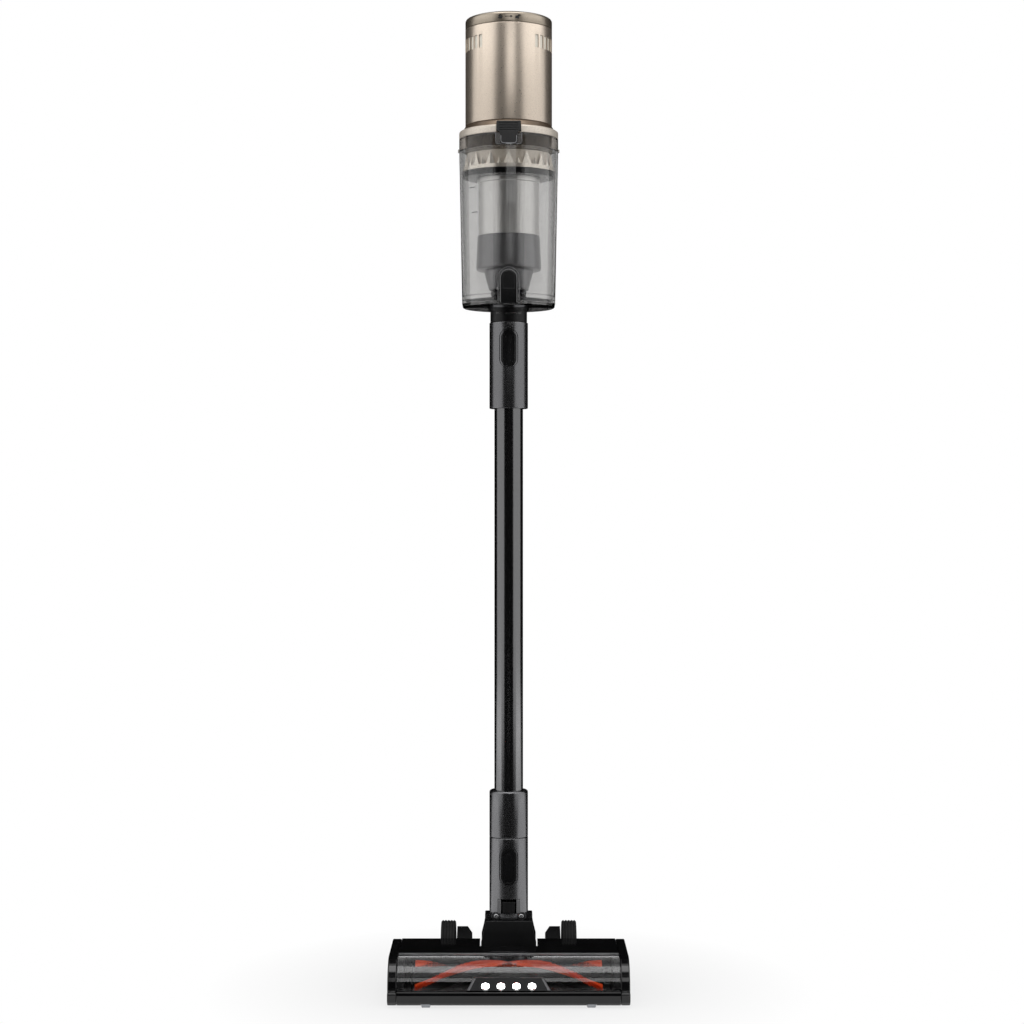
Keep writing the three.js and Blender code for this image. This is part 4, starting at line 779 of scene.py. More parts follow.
def wheel_hub(node):
    """A dished disc in the wheel's outer face."""
    low, high = node_box(node)
    side = 1 if low[0] > 0 else -1
    outer = high[0] if side > 0 else low[0]
    back, dish, face = (outer - side * depth for depth in (0.95, 0.8, 0.45))
    profile = [(6, back), (22.5, back), (22.5, face, 0.3), (20.5, face, 0.3),
               (19.5, dish, 0.2), (9, dish, 0.2), (8, face, 0.3), (6, face, 0.3)]
    return lathe(profile, axis_of(node), 96, lying)


def roller(node):
    low, high = node_box(node)
    r = (high[2] - low[2]) / 2
    x0, x1 = low[0] + 2.5, high[0] - 2.5
    profile = [(0, low[0]), (2, low[0], 0.3), (2, x0), (r - 0.8, x0, 0.5), (r, x0 + 0.8, 0.6),
               (r, x1 - 0.8, 0.6), (r - 0.8, x1, 0.5), (2, x1), (2, high[0], 0.3), (0, high[0])]
    return lathe(profile, axis_of(node), 64, lying)


put("head_base", None, SATIN, 0.5)
put("head_top_cover", None, GLOSS, 0.7, 3)
put("brush_window", window_shell(), WINDOW_CLEAR, 0.25)
put("front_bumper", bumper(), GLOSS, 0.3)
put("led_housing", led_frame(), DARK_GREY, 0.25)
for side, name in SIDES:
    wheel_node, roller_node = f"rear_wheel_{name}", f"front_roller_{name}"
    add(f"led_edge_{name}", led_edge(side), TRIM_AND_HIGHLIGHT, "led_housing")
    put(f"end_cap_{name}", end_cap(side), GLOSS, 1.4, 4)
    put(wheel_node, wheel(wheel_node), RUBBER)
    add(f"wheel_hub_{name}", wheel_hub(wheel_node), SATIN, wheel_node)
    put(roller_node, roller(roller_node), PALE)
put("led_strip", led_strip(), LAMP)
put("brush_motor", None, STEEL, 0.4)
put("motor_pulley", None, STEEL, 0.2)
put("drive_belt", None, RUBBER, 0.15)
put("hair_comb", comb(), SATIN)
belt_low, belt_high = node_box("drive_belt")
core = fuse(bar_x(CORE_R, -BRUSH_HIGH[0] + 14.5, BRUSH_HIGH[0] - 14.5, *BRUSH, sides=96),
            bar_x(5, BRUSH_LOW[0], BRUSH_HIGH[0], *BRUSH), bar_x(11, belt_low[0], belt_high[0], *BRUSH))
put("brush_core", core, SATIN, 0.4)
draw = random.Random(7)
for i in range(3):
    start = 40 + 120 * i
    strip = helix(start, BRUSH_R - 3.2, 9)
    fringe = fibres(start, BRUSH_R - 3.8, BRUSH_R - 1.1, 6.5, 0.42, 6, 0.26, draw)
    put(f"brush_strip_{i + 1}", joined([strip, fringe]), ORANGE)
    strip = helix(start + 60, CORE_R + 1.6, 4)
    fringe = fibres(start + 60, CORE_R + 1.2, BRUSH_R, 2.6, 0.8, 3, 0.2, draw)
    put(f"bristle_row_{i + 1}", joined([strip, fringe]), BRISTLE)
# A silver strip along the front edge of the top cover: a painted highlight of the bevel there.
cover_front, seam = node_box("head_top_cover")[0][1], HEAD_HIGH[2]
outline = [(cover_front - 0.25, seam - 2.2), (cover_front + 0.05, seam - 2.2),
           (cover_front + 0.9, seam + 0.25), (cover_front - 0.6, seam + 0.25, 0.3)]
edge_highlight = prism(outline, along_x, -CHASSIS + 0.2, CHASSIS - 0.2)
add("cover_edge_highlight", edge_highlight, TRIM_AND_HIGHLIGHT, "head_top_cover")

# ------------------------------------------------------------------ neck and wand
NECK_LOW, NECK_TOP = heights("neck_tube")
SWIVEL_Z = NECK_LOW + 13
NECK_BOTTOM = SWIVEL_Z + 15
SLEEVE_R = 21.5
SOCKET_R = 18
SPIGOT_R = 17.5
SPIGOT_BORE = 14
AIRWAY_R = 9
WAND_R, WAND_BORE = 16, 14.5
SEAT_R = WAND_R + GAP  # the bore that the tube stands in


def button_shape(width, height, z, outer, inner):
    """An upright slot outline, kept between two radii of a tube."""
    slot = prism(obround(width, height, z), along_y, -SLEEVE_R - 5, -5)
    return shared(slot, tube(outer, inner, z - height, z + height))


def pocketed(body, node):
    """Cuts a release button's hole and the groove round it."""
    low, high = heights(node)
    z = (low + high) / 2
    hole = prism(obround(17.2, high - low + 2 * GAP, z), along_y, -SLEEVE_R - 5, -5)
    ring = button_shape(21, high - low + 4.4, z, SLEEVE_R + 5, SLEEVE_R - 0.8)
    return carve(body, hole, ring)


def release_button(node):
    low, high = heights(node)
    z = (low + high) / 2
    button = button_shape(16.6, high - low, z, SLEEVE_R + 0.2, SPIGOT_R + 2.3)
    dish = button_shape(12.4, high - low - 4.2, z, SLEEVE_R + 5, SLEEVE_R - 0.5)
    return carve(button, dish)


def button_mark(node):
    """A small raised mark near the top of a release button."""
    return button_shape(6.4, 7.4, heights(node)[1] - 9.5, SLEEVE_R + 0.1, SLEEVE_R - 1.2)


def neck_shell():
    floor = NECK_BOTTOM + 6
    body = lathe([(SOCKET_R, floor), (SOCKET_R, NECK_TOP), (SLEEVE_R, NECK_TOP, 0.8),
                  (SLEEVE_R, NECK_BOTTOM, 0.6), (AIRWAY_R, NECK_BOTTOM), (AIRWAY_R, floor)], 0, TUBE)
    knuckle = bar_y(13, -19.5, 19.5, 0, SWIVEL_Z, 72)
    stem = block(-12, 12, -17, 17, SWIVEL_Z, NECK_BOTTOM + 3)
    pivots = bar_y(5, -26, 26, 0, SWIVEL_Z)
    lumps = []
    for side in (-1, 1):
        x0, x1 = sorted((side * (SLEEVE_R - 2), side * node_box("neck_tube")[1][0]))
        z0, z1 = NECK_BOTTOM - 4, NECK_BOTTOM + 5
        lumps.append(prism([(x0, z0, 1.2), (x1, z0, 1.2), (x1, z1, 1.2), (x0, z1, 1.2)], along_y, -9, 9))
        lumps.append(bar_y(4.4, -20, -14, side * 14, NECK_BOTTOM + 4))
    fuse(body, knuckle, stem, pivots, *lumps)
    airway = disc(AIRWAY_R, NECK_LOW - 20, NECK_BOTTOM + 10, 0, 64)
    slot = block(-12.5, 12.5, -SLEEVE_R - 1, -14, NECK_BOTTOM + 7, NECK_BOTTOM + 23)
    carve(body, airway, slot)
    return pocketed(body, "neck_button")


put("neck_yoke", None, SATIN, 0.9, 3)
put("neck_tube", neck_shell(), SLEEVE, 0.35)
screw = [(0, -20.35), (2.1, -20.35, 0.3), (2.6, -19.9), (0, -19.9)]
for side, name in SIDES:
    head = lathe(screw, (side * 14, NECK_BOTTOM + 4), PIN, facing)
    add(f"neck_screw_{name}", head, STEEL, "neck_tube")
    cheek = block(side * 8.6, side * 12.3, -20.6, -15.5, NECK_BOTTOM + 7.2, NECK_BOTTOM + 22.6)
    add(f"slot_cheek_{name}", cheek, MID_GREY, "neck_tube", 0.5)
put("upright_catch", None, SATIN, 0.8, 3)
for node in ("neck_button", "wand_button"):
    put(node, release_button(node), GLOSS_SATIN, 0.35, 3)
    add(node + "_mark", button_mark(node), GLOSS_SATIN, node, bevel=0.3)

low, high = heights("lower_sleeve")
seam, seat = NECK_TOP + GAP, high - 20.3
sleeve = [(SPIGOT_BORE, low), (SPIGOT_R, low, 0.8), (SPIGOT_R, seam), (SLEEVE_R, seam, 0.8),
          (SLEEVE_R, high, 3.5), (SEAT_R, high), (SEAT_R, seat), (SPIGOT_BORE, seat)]
put("lower_sleeve", lathe(sleeve, 0, TUBE), SLEEVE)
put("wand_tube", tube(WAND_R, WAND_BORE, *heights("wand_tube"), 0, TUBE), COATED)
low, high = heights("upper_sleeve")
floor, seat = low + 26.3, low + 20.3
sleeve = [(SEAT_R, low), (SLEEVE_R, low, 1.2), (SLEEVE_R, high, 0.9), (SOCKET_R, high),
          (SOCKET_R, floor), (SPIGOT_BORE, floor), (SPIGOT_BORE, seat), (SEAT_R, seat)]
put("upper_sleeve", pocketed(lathe(sleeve, 0, TUBE), "wand_button"), SLEEVE, 0.35)

# ------------------------------------------------------------------ hand unit
HOUSING_LOW, HOUSING_TOP = heights("motor_housing")
HOUSING_R = radius("motor_housing")
COLLAR_LOW, COLLAR_TOP = heights("collar_ring")
COLLAR_R = 53.5
CUP_TOP = heights("dust_cup")[1]
LATCH_BOX = node_box("cup_latch")
PIPE_R, PIPE_BORE = 20.5, 17
SPINE_LOW, SPINE_TOP = heights("body_spine")
SPINE_REAR = 14
PIPE_TOP = SPINE_TOP - 129


def vent_bars(half, front, back, low, high, fillet=0):
    """Twenty upright bars at the vents, ten on each side."""
    outline = panel(half, low, high, fillet, fillet)
    turns = [side * (40 + 8.6 * i) for side in (-1, 1) for i in range(10)]
    front, back = UNIT_Y - HOUSING_R + front, UNIT_Y - HOUSING_R + back
    return [turned(prism(outline, along_y, front, back), turn, UNIT_Y) for turn in turns]


def housing():
    inner, floor = HOUSING_R - 2.8, HOUSING_LOW + 3
    shell = lathe([(30, HOUSING_LOW), (HOUSING_R, HOUSING_LOW, 0.8), (HOUSING_R, HOUSING_TOP, 0.7),
                   (inner, HOUSING_TOP), (inner, floor), (30, floor)], UNIT_Y)
    return carve(shell, *vent_bars(2.3, -3, 8, HOUSING_TOP - 25.2, HOUSING_TOP - 11.2, 1))


def vent_liner():
    """Cream filter cloth behind the vents, with a bar of it standing in each slot. The bars are painted
    light: they put lit cream where the filter deep inside the slots lies in shade.
    """
    low, high = HOUSING_TOP - 25, HOUSING_TOP - 11.4
    cloth = tube(HOUSING_R - 3, HOUSING_R - 3.8, low - 2, high + 2, UNIT_Y)
    return joined([cloth] + vent_bars(2, 0.9, 2.9, low, high))


def cap():
    low, high = heights("filter_cap")
    rim = HOUSING_TOP + GAP
    return lathe([(0, low), (19.5, low, 0.8), (19.5, rim), (HOUSING_R, rim, 0.7), (HOUSING_R, high - 2.4, 3),
                  (HOUSING_R - 4.5, high - 0.7, 3), (HOUSING_R - 14, high), (0, high)], UNIT_Y)


def notched(profile):
    """A part of the collar, with room for the cup's latch."""
    outline = panel(LATCH_BOX[1][0] + GAP, COLLAR_LOW - 10, LATCH_BOX[1][2] + GAP, 0, 2.2)
    return carve(lathe(profile, UNIT_Y), prism(outline, along_y, UNIT_Y - 60, UNIT_Y - 48))


def collar():
    top = COLLAR_LOW + 8.4
    return notched([(44, COLLAR_LOW), (COLLAR_R, COLLAR_LOW, 0.5), (COLLAR_R, top - 1, 2),
                    (COLLAR_R - 2, top, 1), (44, top)])


def collar_neck():
    """The cone between the collar and the motor housing, in a darker brown that is painted shade of the
    recess there.
    """
    low = COLLAR_LOW + 8.6
    return notched([(44, low), (COLLAR_R - 3.4, low, 0.4),
                    (HOUSING_R - 0.6, COLLAR_TOP, 0.4), (44, COLLAR_TOP)])


def cap_mark():
    """An arrow between a shut and an open padlock, the sign for turning the cap."""
    low = HOUSING_TOP + 5.2
    shapes = [[(-4, low), (2.2, low), (2.2, low + 0.7), (-4, low + 0.7)],
              [(1.8, low - 1.1), (4.4, low + 0.35), (1.8, low + 1.8)]]
    for x, shift in ((-9, 0), (9, 2.2)):
        z0, z1 = low - 1.6, low + 0.9
        shapes.append([(x - 1.9, z0), (x + 1.9, z0), (x + 1.9, z1), (x - 1.9, z1)])
        centre = (x + shift, z1)
        shapes.append(arc(centre, 1.5, 0, 180, 10) + arc(centre, 0.95, 180, 0, 10))
    marks = [prism(shape, along_y, UNIT_Y - HOUSING_R - 0.05, UNIT_Y - HOUSING_R + 1.5) for shape in shapes]
    return joined(marks)


def along_z(a, b, depth):
    return a, b, depth


def spine():
    low, top = SPINE_LOW + 46, PIPE_TOP + 7
    wall = lathe([(SPIGOT_BORE, SPINE_LOW), (SPIGOT_R, SPINE_LOW, 0.8), (SPIGOT_R, low), (PIPE_R, low, 0.6),
                  (PIPE_R, top), (0.01, top), (0.01, PIPE_TOP), (PIPE_BORE, PIPE_TOP), (PIPE_BORE, low + 6),
                  (SPIGOT_BORE, low + 6)], 0, TUBE)
    plug = disc(2, PIPE_TOP, top, 0, 24)
    port = block(-14, 14, UNIT_Y + 46, -12, PIPE_TOP - 24, PIPE_TOP - 2)
    outline = panel(17, UNIT_Y + 44, SPINE_REAR, 0, 4)
    fuse(wall, plug, port, prism(outline, along_z, PIPE_TOP, SPINE_TOP))
    cup_room = disc(COLLAR_R + 0.8, SPINE_LOW - 5, HOUSING_LOW, UNIT_Y)
    housing_room = disc(HOUSING_R + GAP, HOUSING_LOW - 1, HOUSING_TOP + 5, UNIT_Y)
    passage = block(-11, 11, UNIT_Y + 40, 0, PIPE_TOP - 21, PIPE_TOP - 5)
    return carve(wall, cup_room, housing_room, passage)


def handle():
    """Both halves in one, before they are parted along the middle."""
    low, high = node_box("handle_shell_right")
    front, rear = SPINE_REAR + GAP, high[1]
    bottom, top = low[2], high[2]
    pipe_side = PIPE_R + 0.5
    outline = [(front, PIPE_TOP + 8), (pipe_side, PIPE_TOP + 8), (pipe_side, bottom)]
    outline += arc((rear - 8, bottom + 8), 8, 270, 360, 8)
    outline += arc((rear - 24, top - 24), 24, 0, 90, 16) + [(front, top - 8, 3)]
    grip = prism(outline, along_x, -high[0], high[0])
    opening = []
    for y, down, first in ((68, 58, 0), (50, 58, 90), (50, 134, 180), (68, 134, 270)):
        opening += arc((y, top - down), 14, first, first + 90, 12)
    carve(grip, prism(opening, along_x, -high[0] - 1, high[0] + 1))
    freeze(soften(grip, 4.2, 6))
    a, b = node_box("control_board")
    board = block(a[0] - GAP, b[0] + GAP, a[1] - GAP, b[1] + GAP, a[2] - GAP, a[2] + 12)
    a, b = node_box("trigger")
    key = block(a[0] - GAP, b[0] + GAP, a[1] + 5, b[1] + 4.3, a[2] - GAP, b[2] + GAP)
    lens = disc(10.3, top - 3, top + 1, centre_y("display_lens"), 64)
    mode = disc(5.3, top - 7, top + 1, centre_y("mode_button"), 48)
    slot = block(-6.3, 6.3, 32, rear + 10, bottom - 1, bottom + 5)
    groove = block(-10.3, 10.3, 32, rear + 10, bottom + 5, bottom + 10)
    return carve(grip, board, key, lens, mode, slot, groove)


def battery():
    low, high = node_box("battery_pack")
    front, rear, half, bottom = low[1], high[1], high[0], low[2]
    top = heights("handle_shell_right")[0] - GAP
    outline = [(front, bottom, 5), (rear, bottom, 6), (rear, top, 5), (front, top, 1)]
    body = freeze(soften(prism(outline, along_x, -half, half), 3, 5))
    fuse(body, block(-6, 6, 34, 110, top - 1, top + 6.3), block(-10, 10, 34, 110, top + 5.6, high[2]))
    a, b = node_box("battery_button")
    cuts = [block(a[0] - GAP, b[0] + GAP, rear - 4, rear + 1, a[2] - GAP, b[2] + GAP)]
    for side in (-1, 1):
        for y in range(5):
            y0, y1 = rear - 34 + 5 * y, rear - 32 + 5 * y
            cuts.append(block(side * (half - 0.8), side * (half + 1), y0, y1, bottom + 14, top - 14))
    cuts.append(block(-half - 1, half + 1, front + 18, front + 18.5, bottom - 1, bottom + 0.5))
    return carve(body, *cuts)


def ridged_key(node, count):
    """A key with a row of finger ridges on its rear face."""
    low, high = node_box(node)
    pitch = (high[2] - low[2] - 4) / count
    grooves = []
    for i in range(count):
        z0, z1 = low[2] + 2.5 + i * pitch, low[2] + 2.5 + (i + 0.5) * pitch
        grooves.append(block(low[0] + 2, high[0] - 2, high[1] - 0.6, high[1] + 1, z0, z1))
    return carve(box_of(node), *grooves)


def trigger_lever():
    low, high = node_box("trigger")
    outline = [(low[1], high[2] - 6, 3), (low[1] + 0.5, high[2], 1), (high[1], high[2]),
               (high[1], low[2]), (low[1] + 4, low[2], 1), (low[1] + 2, low[2] + 5, 5)]
    return prism(outline, along_x, low[0], high[0])


def grip():
    low, high = node_box("grip_pad")
    grooves = [block(low[0] + 1.5, high[0] - 1.5, high[1] - 0.5, high[1] + 1, z, z + 1.2)
               for z in [low[2] + 6 + 4 * i for i in range(25)]]
    return carve(box_of("grip_pad"), *grooves)


put("motor_housing", housing(), CHAMPAGNE, 0.2)
put("filter_cap", cap(), CHAMPAGNE_CAP)
put("collar_ring", collar(), CHAMPAGNE_GRAIN, 0.2)
add("collar_neck", collar_neck(), RECESS_SHADE_BROWN, "collar_ring")
add("vent_liner", vent_liner(), PAPER, "motor_housing")
add("cap_mark", cap_mark(), DARK_GREY, "filter_cap")
put("motor_frame", None, SATIN, 0.4)
put("motor", None, STEEL, 0.5)
put("impeller", None, STEEL, 0.2)
put("exhaust_filter", None, PAPER)
put("body_spine", spine(), SATIN, 0.5)
left = handle()
right = linked(left.data.copy())
put("handle_shell_left", carve(left, block(-0.15, 60, 0, 200, 800, 1100)), SATIN, 0.25)
put("handle_shell_right", carve(right, block(-60, 0.15, 0, 200, 800, 1100)), SATIN, 0.25)
put("grip_pad", grip(), RUBBER, 0.3)
put("trigger", trigger_lever(), DARK_GREY, 1.0, 3)
low, high = heights("display_lens")
lens = [(0, low), (10, low), (10, high, 0.6), (0, high)]
put("display_lens", lathe(lens, centre_y("display_lens"), 72), GLOSS)
low, high = heights("mode_button")
key = [(0, low), (5, low), (5, high, 0.8), (3.4, high - 0.2, 0.5), (0, high - 0.6)]
put("mode_button", lathe(key, centre_y("mode_button"), 48), DARK_GREY)
put("control_board", None, BOARD)
put("battery_pack", battery(), SATIN, 0.2)
put("battery_button", ridged_key("battery_button", 4), DARK_GREY, 0.3)

# ------------------------------------------------------------------ dust cup
CUP_LOW = heights("door_gasket")[0]
CUP_WALL = 2.2
CUP_R_LOW, CUP_R_TOP = 50.3, 53.5
DOOR_TOP = heights("cup_door")[1]
HINGE_LOW, HINGE_HIGH = node_box("door_pin")
HINGE = HINGE_Y, HINGE_Z = axis_of("door_pin")
HINGE_BORE = 1.4
ROCKER = node_box("door_latch")
POCKET_HALF = 10
PIVOT = (UNIT_Y - 48, ROCKER[0][2] + 16)


def cup_r(z):
    """Radius of the cup's wall at a height."""
    return CUP_R_LOW + (z - CUP_LOW) * (CUP_R_TOP - CUP_R_LOW) / (CUP_TOP - CUP_LOW)


def cup():
    profile = [(CUP_R_LOW - CUP_WALL, CUP_LOW), (CUP_R_LOW, CUP_LOW, 0.6)]
    for z in (CUP_LOW + 3.4, CUP_LOW + 7.6):
        r = cup_r(z)
        profile += [(r, z - 0.5, 0.15), (r - 0.6, z - GAP, 0.1), (r - 0.6, z + GAP, 0.1), (r, z + 0.5, 0.15)]
    profile += [(CUP_R_TOP, CUP_TOP, 0.5), (CUP_R_TOP - CUP_WALL, CUP_TOP)]
    shell = lathe(profile, UNIT_Y)
    top = ROCKER[1][2]
    lump = prism(arch(POCKET_HALF + 4.3, CUP_LOW, top + 5), along_y, UNIT_Y - CUP_R_LOW + 0.6, UNIT_Y - 43.5)
    lugs = [shared(lump, disc(CUP_R_LOW - 1, CUP_LOW, top + 10, UNIT_Y))]
    cuts = [prism(arch(POCKET_HALF, CUP_LOW - 5, top + 0.5), along_y, UNIT_Y - 60, UNIT_Y - 45.5),
            block(-11, 11, UNIT_Y + 45, UNIT_Y + 60, PIPE_TOP - 21, PIPE_TOP - 5),
            bar_x(HINGE_BORE, -15, 15, *HINGE)]
    for side in (-1, 1):
        lugs.append(bar_x(2.2, side * 8.3, side * 14, *HINGE))
        lugs.append(block(side * 8.3, side * 14, HINGE_Y - 3, HINGE_Y, HINGE_Z, CUP_LOW + 4))
        cuts.append(bar_x(1.4, side * 9.5, side * 13, *PIVOT, sides=PIN))
    return carve(fuse(shell, *lugs), *cuts)


def rim():
    low, high = heights("cup_rim")
    ring = lathe([(47, low), (CUP_R_TOP, low, 0.5), (CUP_R_TOP, high, 0.5), (47, high)], UNIT_Y)
    notch = panel(14.3, low + 0.4, high + 1, 3)
    carve(ring, prism(notch, along_y, UNIT_Y - 60, UNIT_Y - 48))
    bumps = [block(side * (CUP_R_TOP - 2), side * (CUP_R_TOP + 1.3), UNIT_Y - 3, UNIT_Y + 3, low, low + 2.7)
             for side in (-1, 1)]
    return fuse(ring, *bumps)


def u_line(half, low, high, width, start, stop):
    """The outline of a U, drawn as a bar of the given width."""
    inner = half - width
    outline = [(-half, high), (-half, low, 3.5), (half, low, 3.5), (half, high),
               (inner, high), (inner, low + width, 2.7), (-inner, low + width, 2.7), (-inner, high)]
    return prism(outline, along_y, start, stop)


def level_mark(x, z):
    """A short dash moulded on the front of the cup."""
    r = cup_r(z)
    dash = block(x - 3, x + 3, UNIT_Y - 60, UNIT_Y, z - 0.45, z + 0.45)
    return shared(dash, tube(r + 0.15, r - 0.4, z - 2, z + 2, UNIT_Y))


def pyramid(x, depth, height, base, y, slope):
    """A tooth on a foot of four corners, with its tip a little behind the middle of the foot."""
    points = [(-x, y, base), (0, y - depth, base), (x, y, base), (0, y + depth, base),
              (0, y + slope, base + height)]
    return solid(points, [(3, 2, 1, 0), (0, 1, 4), (1, 2, 4), (2, 3, 4), (3, 0, 4)])


def crown():
    low, high = heights("cyclone_crown")
    band = tube(49.5, 45.5, low, low + 4, UNIT_Y, 180)
    teeth = []
    for i in range(30):
        half, depth, share, foot = (3.6, 1.8, 0.55, 2) if i % 2 else (7, 2.3, 1, 0.4)
        tooth = pyramid(half, depth, share * (high - low - 0.4), low + foot, UNIT_Y - 47.1, 0.6)
        teeth.append(turned(tooth, i * 12, UNIT_Y))
    return joined([band] + teeth)


def crown_painted_light_wall():
    """A pale wall behind the teeth: painted light, where the foam under the rim lies in shade."""
    return tube(44.7, 44.1, heights("cyclone_crown")[0], heights("pre_filter")[0] - GAP, UNIT_Y)


def arch_line(half, width, low, high, start, stop):
    """The outline of an arch, drawn as a bar of the given width."""
    outer = [(half, low)] + arc((0, high - half), half, 0, 180) + [(-half, low)]
    inner = half - width
    hollow = [(-inner, low)] + arc((0, high - half), inner, 180, 0) + [(inner, low)]
    return prism(outer + hollow, along_y, start, stop)


def mesh_basket():
    low, high = heights("mesh_filter")
    r = radius("mesh_filter") - 1.2
    return lathe([(r - 1.5, low), (r, low), (r, high - 5.4, 0.3), (r + 1.2, high - 4.8, 0.3),
                  (r + 1.2, high), (r - 1.5, high)], UNIT_Y)


def skirt():
    low, top = heights("cyclone_skirt")
    step = low + 20
    return lathe([(19, low), (21.3, low, 0.8), (26.7, step, 2), (34.6, step + 1.2, 0.8),
                  (35.3, step + 3.5, 0.8), (33.7, top, 0.6), (29, top),
                  (29, step + 11), (24, step + 5)], UNIT_Y)


def door():
    low = DOOR_TOP - 3.9
    plate = lathe([(0, low), (CUP_R_LOW - 2.6, low, 0.8), (CUP_R_LOW - 0.8, low + 1, 0.6),
                   (CUP_R_LOW - 0.3, DOOR_TOP), (0, DOOR_TOP)], UNIT_Y)
    cuts = [block(-POCKET_HALF, POCKET_HALF, UNIT_Y - 60, UNIT_Y - 48.2, low - 10, low + 10)]
    for side in (-1, 1):
        cuts.append(block(side * 8, side * 14.5, HINGE_Y - 3.4, HINGE_Y + 5, low - 10, low + 10))
    carve(plate, *cuts)
    fuse(plate, bar_x(2.2, -8, 8, *HINGE), block(-8, 8, HINGE_Y - 4, HINGE_Y, low, low + 3))
    return carve(plate, bar_x(HINGE_BORE, -15, 15, *HINGE))


def gasket():
    low, high = heights("door_gasket")
    room = block(-15, 15, UNIT_Y - 60, UNIT_Y - 30, low - 1, high + 1)
    return carve(tube(46.5, 44, low, high, UNIT_Y), room)


def rocker():
    low, high = ROCKER
    face = low[1]
    plate = freeze(soften(prism(arch(9.5, low[2], high[2]), along_y, face, face + 3.2), 1.2, 4))
    dish = prism(arch(6.2, low[2] + 16, high[2] - 3.5), along_y, face - 1, face + 0.7)
    boss = bar_x(2.4, -8.5, 8.5, *PIVOT)
    pins = bar_x(1.1, low[0], high[0], *PIVOT, sides=PIN)
    fuse(plate, boss, pins)
    return carve(plate, dish)


def cup_catch():
    low, high = LATCH_BOX
    narrow, wide = 9.5, high[0]
    top, step = high[2], high[2] - 12
    outline = [(-narrow, low[2], 3), (narrow, low[2], 3), (narrow, step), (wide, step + 2, 0.5),
               (wide, top, 1.6), (-wide, top, 1.6), (-wide, step + 2, 0.5), (-narrow, step)]
    body = prism(outline, along_y, low[1], high[1])
    grooves = [block(-10, 10, low[1] - 1, low[1] + 0.7, step + 1.5 + i * 2.4, step + 2.6 + i * 2.4)
               for i in range(4)]
    return carve(body, *grooves)


put("dust_cup", cup(), SMOKE)
put("cup_rim", rim(), SMOKE_RIM, 0.2)
put("cyclone_crown", crown(), CROWN)
# A pale wall of painted light behind the crown's teeth, where the foam would show in shade.
add("crown_painted_light_wall", crown_painted_light_wall(), CHAMPAGNE_GRAIN, "cyclone_crown")
low, high = node_box("separator_plate")
plate = [(20, low[2]), (high[0], low[2], 0.5), (high[0], high[2], 0.5), (20, high[2])]
put("separator_plate", lathe(plate, UNIT_Y), GLOSS_SATIN)
put("mesh_filter", mesh_basket(), MESH_STEEL)
put("cyclone_skirt", skirt(), GRAPHITE)
rim_low, rim_high = heights("cup_rim")
# A silver U round the latch notch in the rim: a painted highlight of the notch's edge.
surround = u_line(14.2, rim_low + 0.5, rim_high, 0.8, UNIT_Y - 60, UNIT_Y - 46)
shared(surround, tube(CUP_R_TOP - 0.1, CUP_R_TOP - 2.4, rim_low, rim_high, UNIT_Y))
add("latch_surround", surround, TRIM_AND_HIGHLIGHT, "cup_rim")
# A silver U line on the latch's face: a painted highlight along its edge.
low = LATCH_BOX[0]
add("latch_edge", u_line(8.6, low[2] + 0.7, low[2] + 9, 0.6, low[1] - 0.15, low[1] + 0.4), TRIM_AND_HIGHLIGHT, "cup_latch")
for name, x, z in (("upper", -38.8, 875.9), ("lower", -36.1, 849.4)):
    add(f"level_mark_{name}", level_mark(x, z), MID_GREY, "dust_cup")
low, high = heights("pre_filter")
put("pre_filter", lathe([(0, low), (46.5, low, 1), (46.5, high, 1), (0, high)], UNIT_Y), FOAM)
put("cup_door", door(), SMOKE, 0.15)
put("door_gasket", gasket(), RUBBER, 0.3)
put("door_pin", bar_x(1.1, HINGE_LOW[0], HINGE_HIGH[0], *HINGE, PIN), STEEL, 0.2)
put("door_latch", rocker(), GLOSS_SATIN, 0.15)
put("cup_latch", cup_catch(), GLOSS_SATIN, 0.35, 3)
low, high = ROCKER
top = high[2] + 5
wall = [(CUP_R_LOW - 1.5, CUP_LOW), (CUP_R_LOW + 0.05, CUP_LOW),
        (CUP_R_LOW + 0.85, top), (CUP_R_LOW - 1.5, top)]
# A silver arch round the rocker's pocket in the cup: a painted reflection of the clear edge there.
pocket_edge = arch_line(11.6, 0.7, CUP_LOW + GAP, high[2] + 2.1, UNIT_Y - 60, UNIT_Y - 40)
add("pocket_edge", shared(pocket_edge, lathe(wall, UNIT_Y)), TRIM_AND_HIGHLIGHT, "dust_cup")
# A grey arch line on the rocker's face: a painted highlight along its edge.
rocker_edge = arch_line(8.9, 0.6, low[2] + 1, high[2] - 0.7, low[1] - 0.1, low[1] + 0.4)
add("rocker_edge", rocker_edge, MID_GREY, "door_latch")
for side, name in SIDES:
    pin = bar_x(1.25, side * 10.2, side * (high[0] - 0.05), *PIVOT, sides=PIN)
    add(f"latch_pin_{name}", pin, STEEL, "door_latch")

# ------------------------------------------------------------------ floor, light and camera
def area_light(name, place, aim, width, height, power):
    data = bpy.data.lights.new(name, "AREA")
    data.shape = "RECTANGLE"
    data.size, data.size_y = width, height
    data.energy = power
    lamp = linked(data, name)
    lamp.location = place
    lamp.rotation_euler = (Vector(aim) - Vector(place)).to_track_quat("-Z", "Y").to_euler()
    lamp.visible_camera = False


def seen_rays(tree):
    """1 for rays that show the background: those of the camera, and those that mirrors and glass send on."""
    path = tree.nodes.new("ShaderNodeLightPath")
    total = path.outputs["Is Camera Ray"]
    for name in ("Is Transmission Ray", "Is Glossy Ray"):
        either = tree.nodes.new("ShaderNodeMath")
        either.operation = "MAXIMUM"
        tree.links.new(total, either.inputs[0])
        tree.links.new(path.outputs[name], either.inputs[1])
        total = either.outputs[0]
    return total


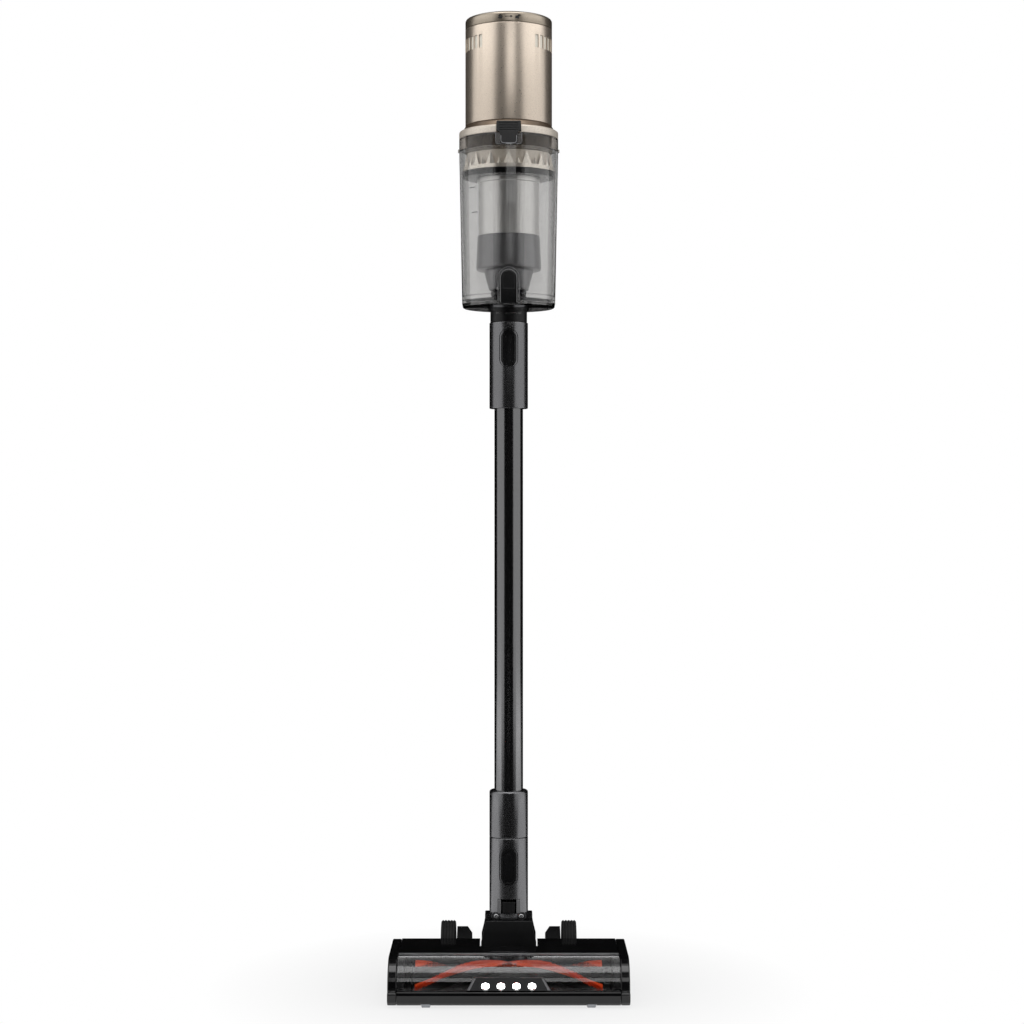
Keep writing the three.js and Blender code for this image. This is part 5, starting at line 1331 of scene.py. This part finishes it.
def floor_material():
    """Pale floor. It is lit as any surface near the object, and fades to plain white away from it."""
    m = Nodes("studio_floor")
    m.drive("Base Color", m.mix(m.spread(m.noise(3.0), 0, 1), (0.8, 0.8, 0.8), (0.82, 0.82, 0.82)))
    m.set(Roughness=1.0, Specular_IOR_Level=0.0)
    white = m.add("Emission", Strength=1.0)
    length = m.add("VectorMath", operation="LENGTH")
    m.link(m.place, length.inputs[0])
    share = m.spread(length.outputs["Value"], FLOOR_SHARE, 1.0, 0.14, 0.34)
    factor = m.maths("MULTIPLY", seen_rays(m.tree), share)
    m.show(factor, m.shader.outputs["BSDF"], white.outputs["Emission"])
    return m.material


FLOOR_SHARE = 0.75  # how much of the floor near the object is plain white, which sets the shadow's depth
AMBIENT = 0.3
points = [(-9000, -9000, 0), (9000, -9000, 0), (9000, 9000, 0), (-9000, 9000, 0)]
floor = solid(points, [(0, 1, 2, 3)])
floor.name = "studio_floor"
paint(floor, floor_material())

world = bpy.data.worlds.new("studio")
bpy.context.scene.world = world
world.use_nodes = True
tree = world.node_tree
background = tree.nodes["Background"]
background.inputs["Color"].default_value = (AMBIENT, AMBIENT, AMBIENT, 1)
backdrop = tree.nodes.new("ShaderNodeBackground")
backdrop.inputs["Color"].default_value = (1, 1, 1, 1)
blend = tree.nodes.new("ShaderNodeMixShader")
tree.links.new(seen_rays(tree), blend.inputs["Fac"])
tree.links.new(background.outputs["Background"], blend.inputs[1])
tree.links.new(backdrop.outputs["Background"], blend.inputs[2])
tree.links.new(blend.outputs["Shader"], tree.nodes["World Output"].inputs["Surface"])

# name, place, aim, width, height, power
area_light("softbox_left", (-1.81, -0.59, 0.95), (0, 0, 0.9), 2.7, 1.9, 14)
area_light("softbox_right", (1.81, -0.59, 0.95), (0, 0, 0.9), 2.7, 1.9, 14)
area_light("softbox_front", (0.25, -2.7, 1.75), (0, 0, 0.95), 1.1, 0.84, 5.2)
area_light("softbox_top", (0, -0.7, 2.4), (0, -0.1, 0), 1.6, 1.2, 15)

CARD = moulded("black_card", (10, 10, 10), 0.9, specular=0.1)
CARD_R = 3200  # distance of the standing cards
CARD_HIGH = 3000
CARD_STEPS = 24


def card(name, points, faces):
    """A dark card that shows only in reflections. The front one also shows through glass."""
    obj = solid(points, faces)
    obj.name = name
    paint(obj, CARD)
    obj.visible_camera = obj.visible_diffuse = obj.visible_shadow = False
    obj.visible_transmission = name == "card_front"


# Curved cards round the object, which give pale walls and black gloss an edge: angles and height.
for name, start, stop, top in (("front", -31, 31, CARD_HIGH), ("left", -31, -100, 1800),
                               ("right", 31, 100, 1800), ("back", 100, 260, 4500)):
    turn = [math.radians(start + (stop - start) * i / CARD_STEPS) for i in range(CARD_STEPS + 1)]
    points = [(CARD_R * math.sin(a), -CARD_R * math.cos(a), z) for z in (10, top) for a in turn]
    first = CARD_STEPS + 1
    card("card_" + name, points, [(i, i + 1, i + first + 1, i + first) for i in range(CARD_STEPS)])

# Level cards, just over the floor and overhead. Each is as wide on the left as on the right.
floor_near, floor_wide, floor_far = (250, 240), (3000, 1600), (3000, 3150)
for name, height, sign, half in (("floor_front", 2, -1, [floor_near, floor_wide, floor_far]),
                                 ("floor_back", 2, 1, [floor_near, floor_wide, floor_far]),
                                 ("above_front", CARD_HIGH, -1, [(400, 1400), (400, CARD_R)]),
                                 ("above_back", CARD_HIGH, 1, [(400, 400), (400, CARD_R)])):
    corners = [(-x, sign * y, height) for x, y in half] + [(x, sign * y, height) for x, y in half[::-1]]
    card("card_" + name, corners, [tuple(range(len(corners)))])

camera_data = bpy.data.cameras.new("photo_camera")
camera_data.sensor_width = 36
camera_data.lens = 36 * 2100 / 1024  # a focal length of 2100 pixels in a picture of 1024
camera_data.shift_x = 3.3 / 1024
camera_data.shift_y = -12 / 1024
camera = linked(camera_data, "photo_camera")
camera.location = (0, -2.35, 0.543)
camera.rotation_euler = (math.radians(90), 0, 0)
bpy.context.scene.camera = camera
bpy.context.scene.view_settings.view_transform = "Standard"
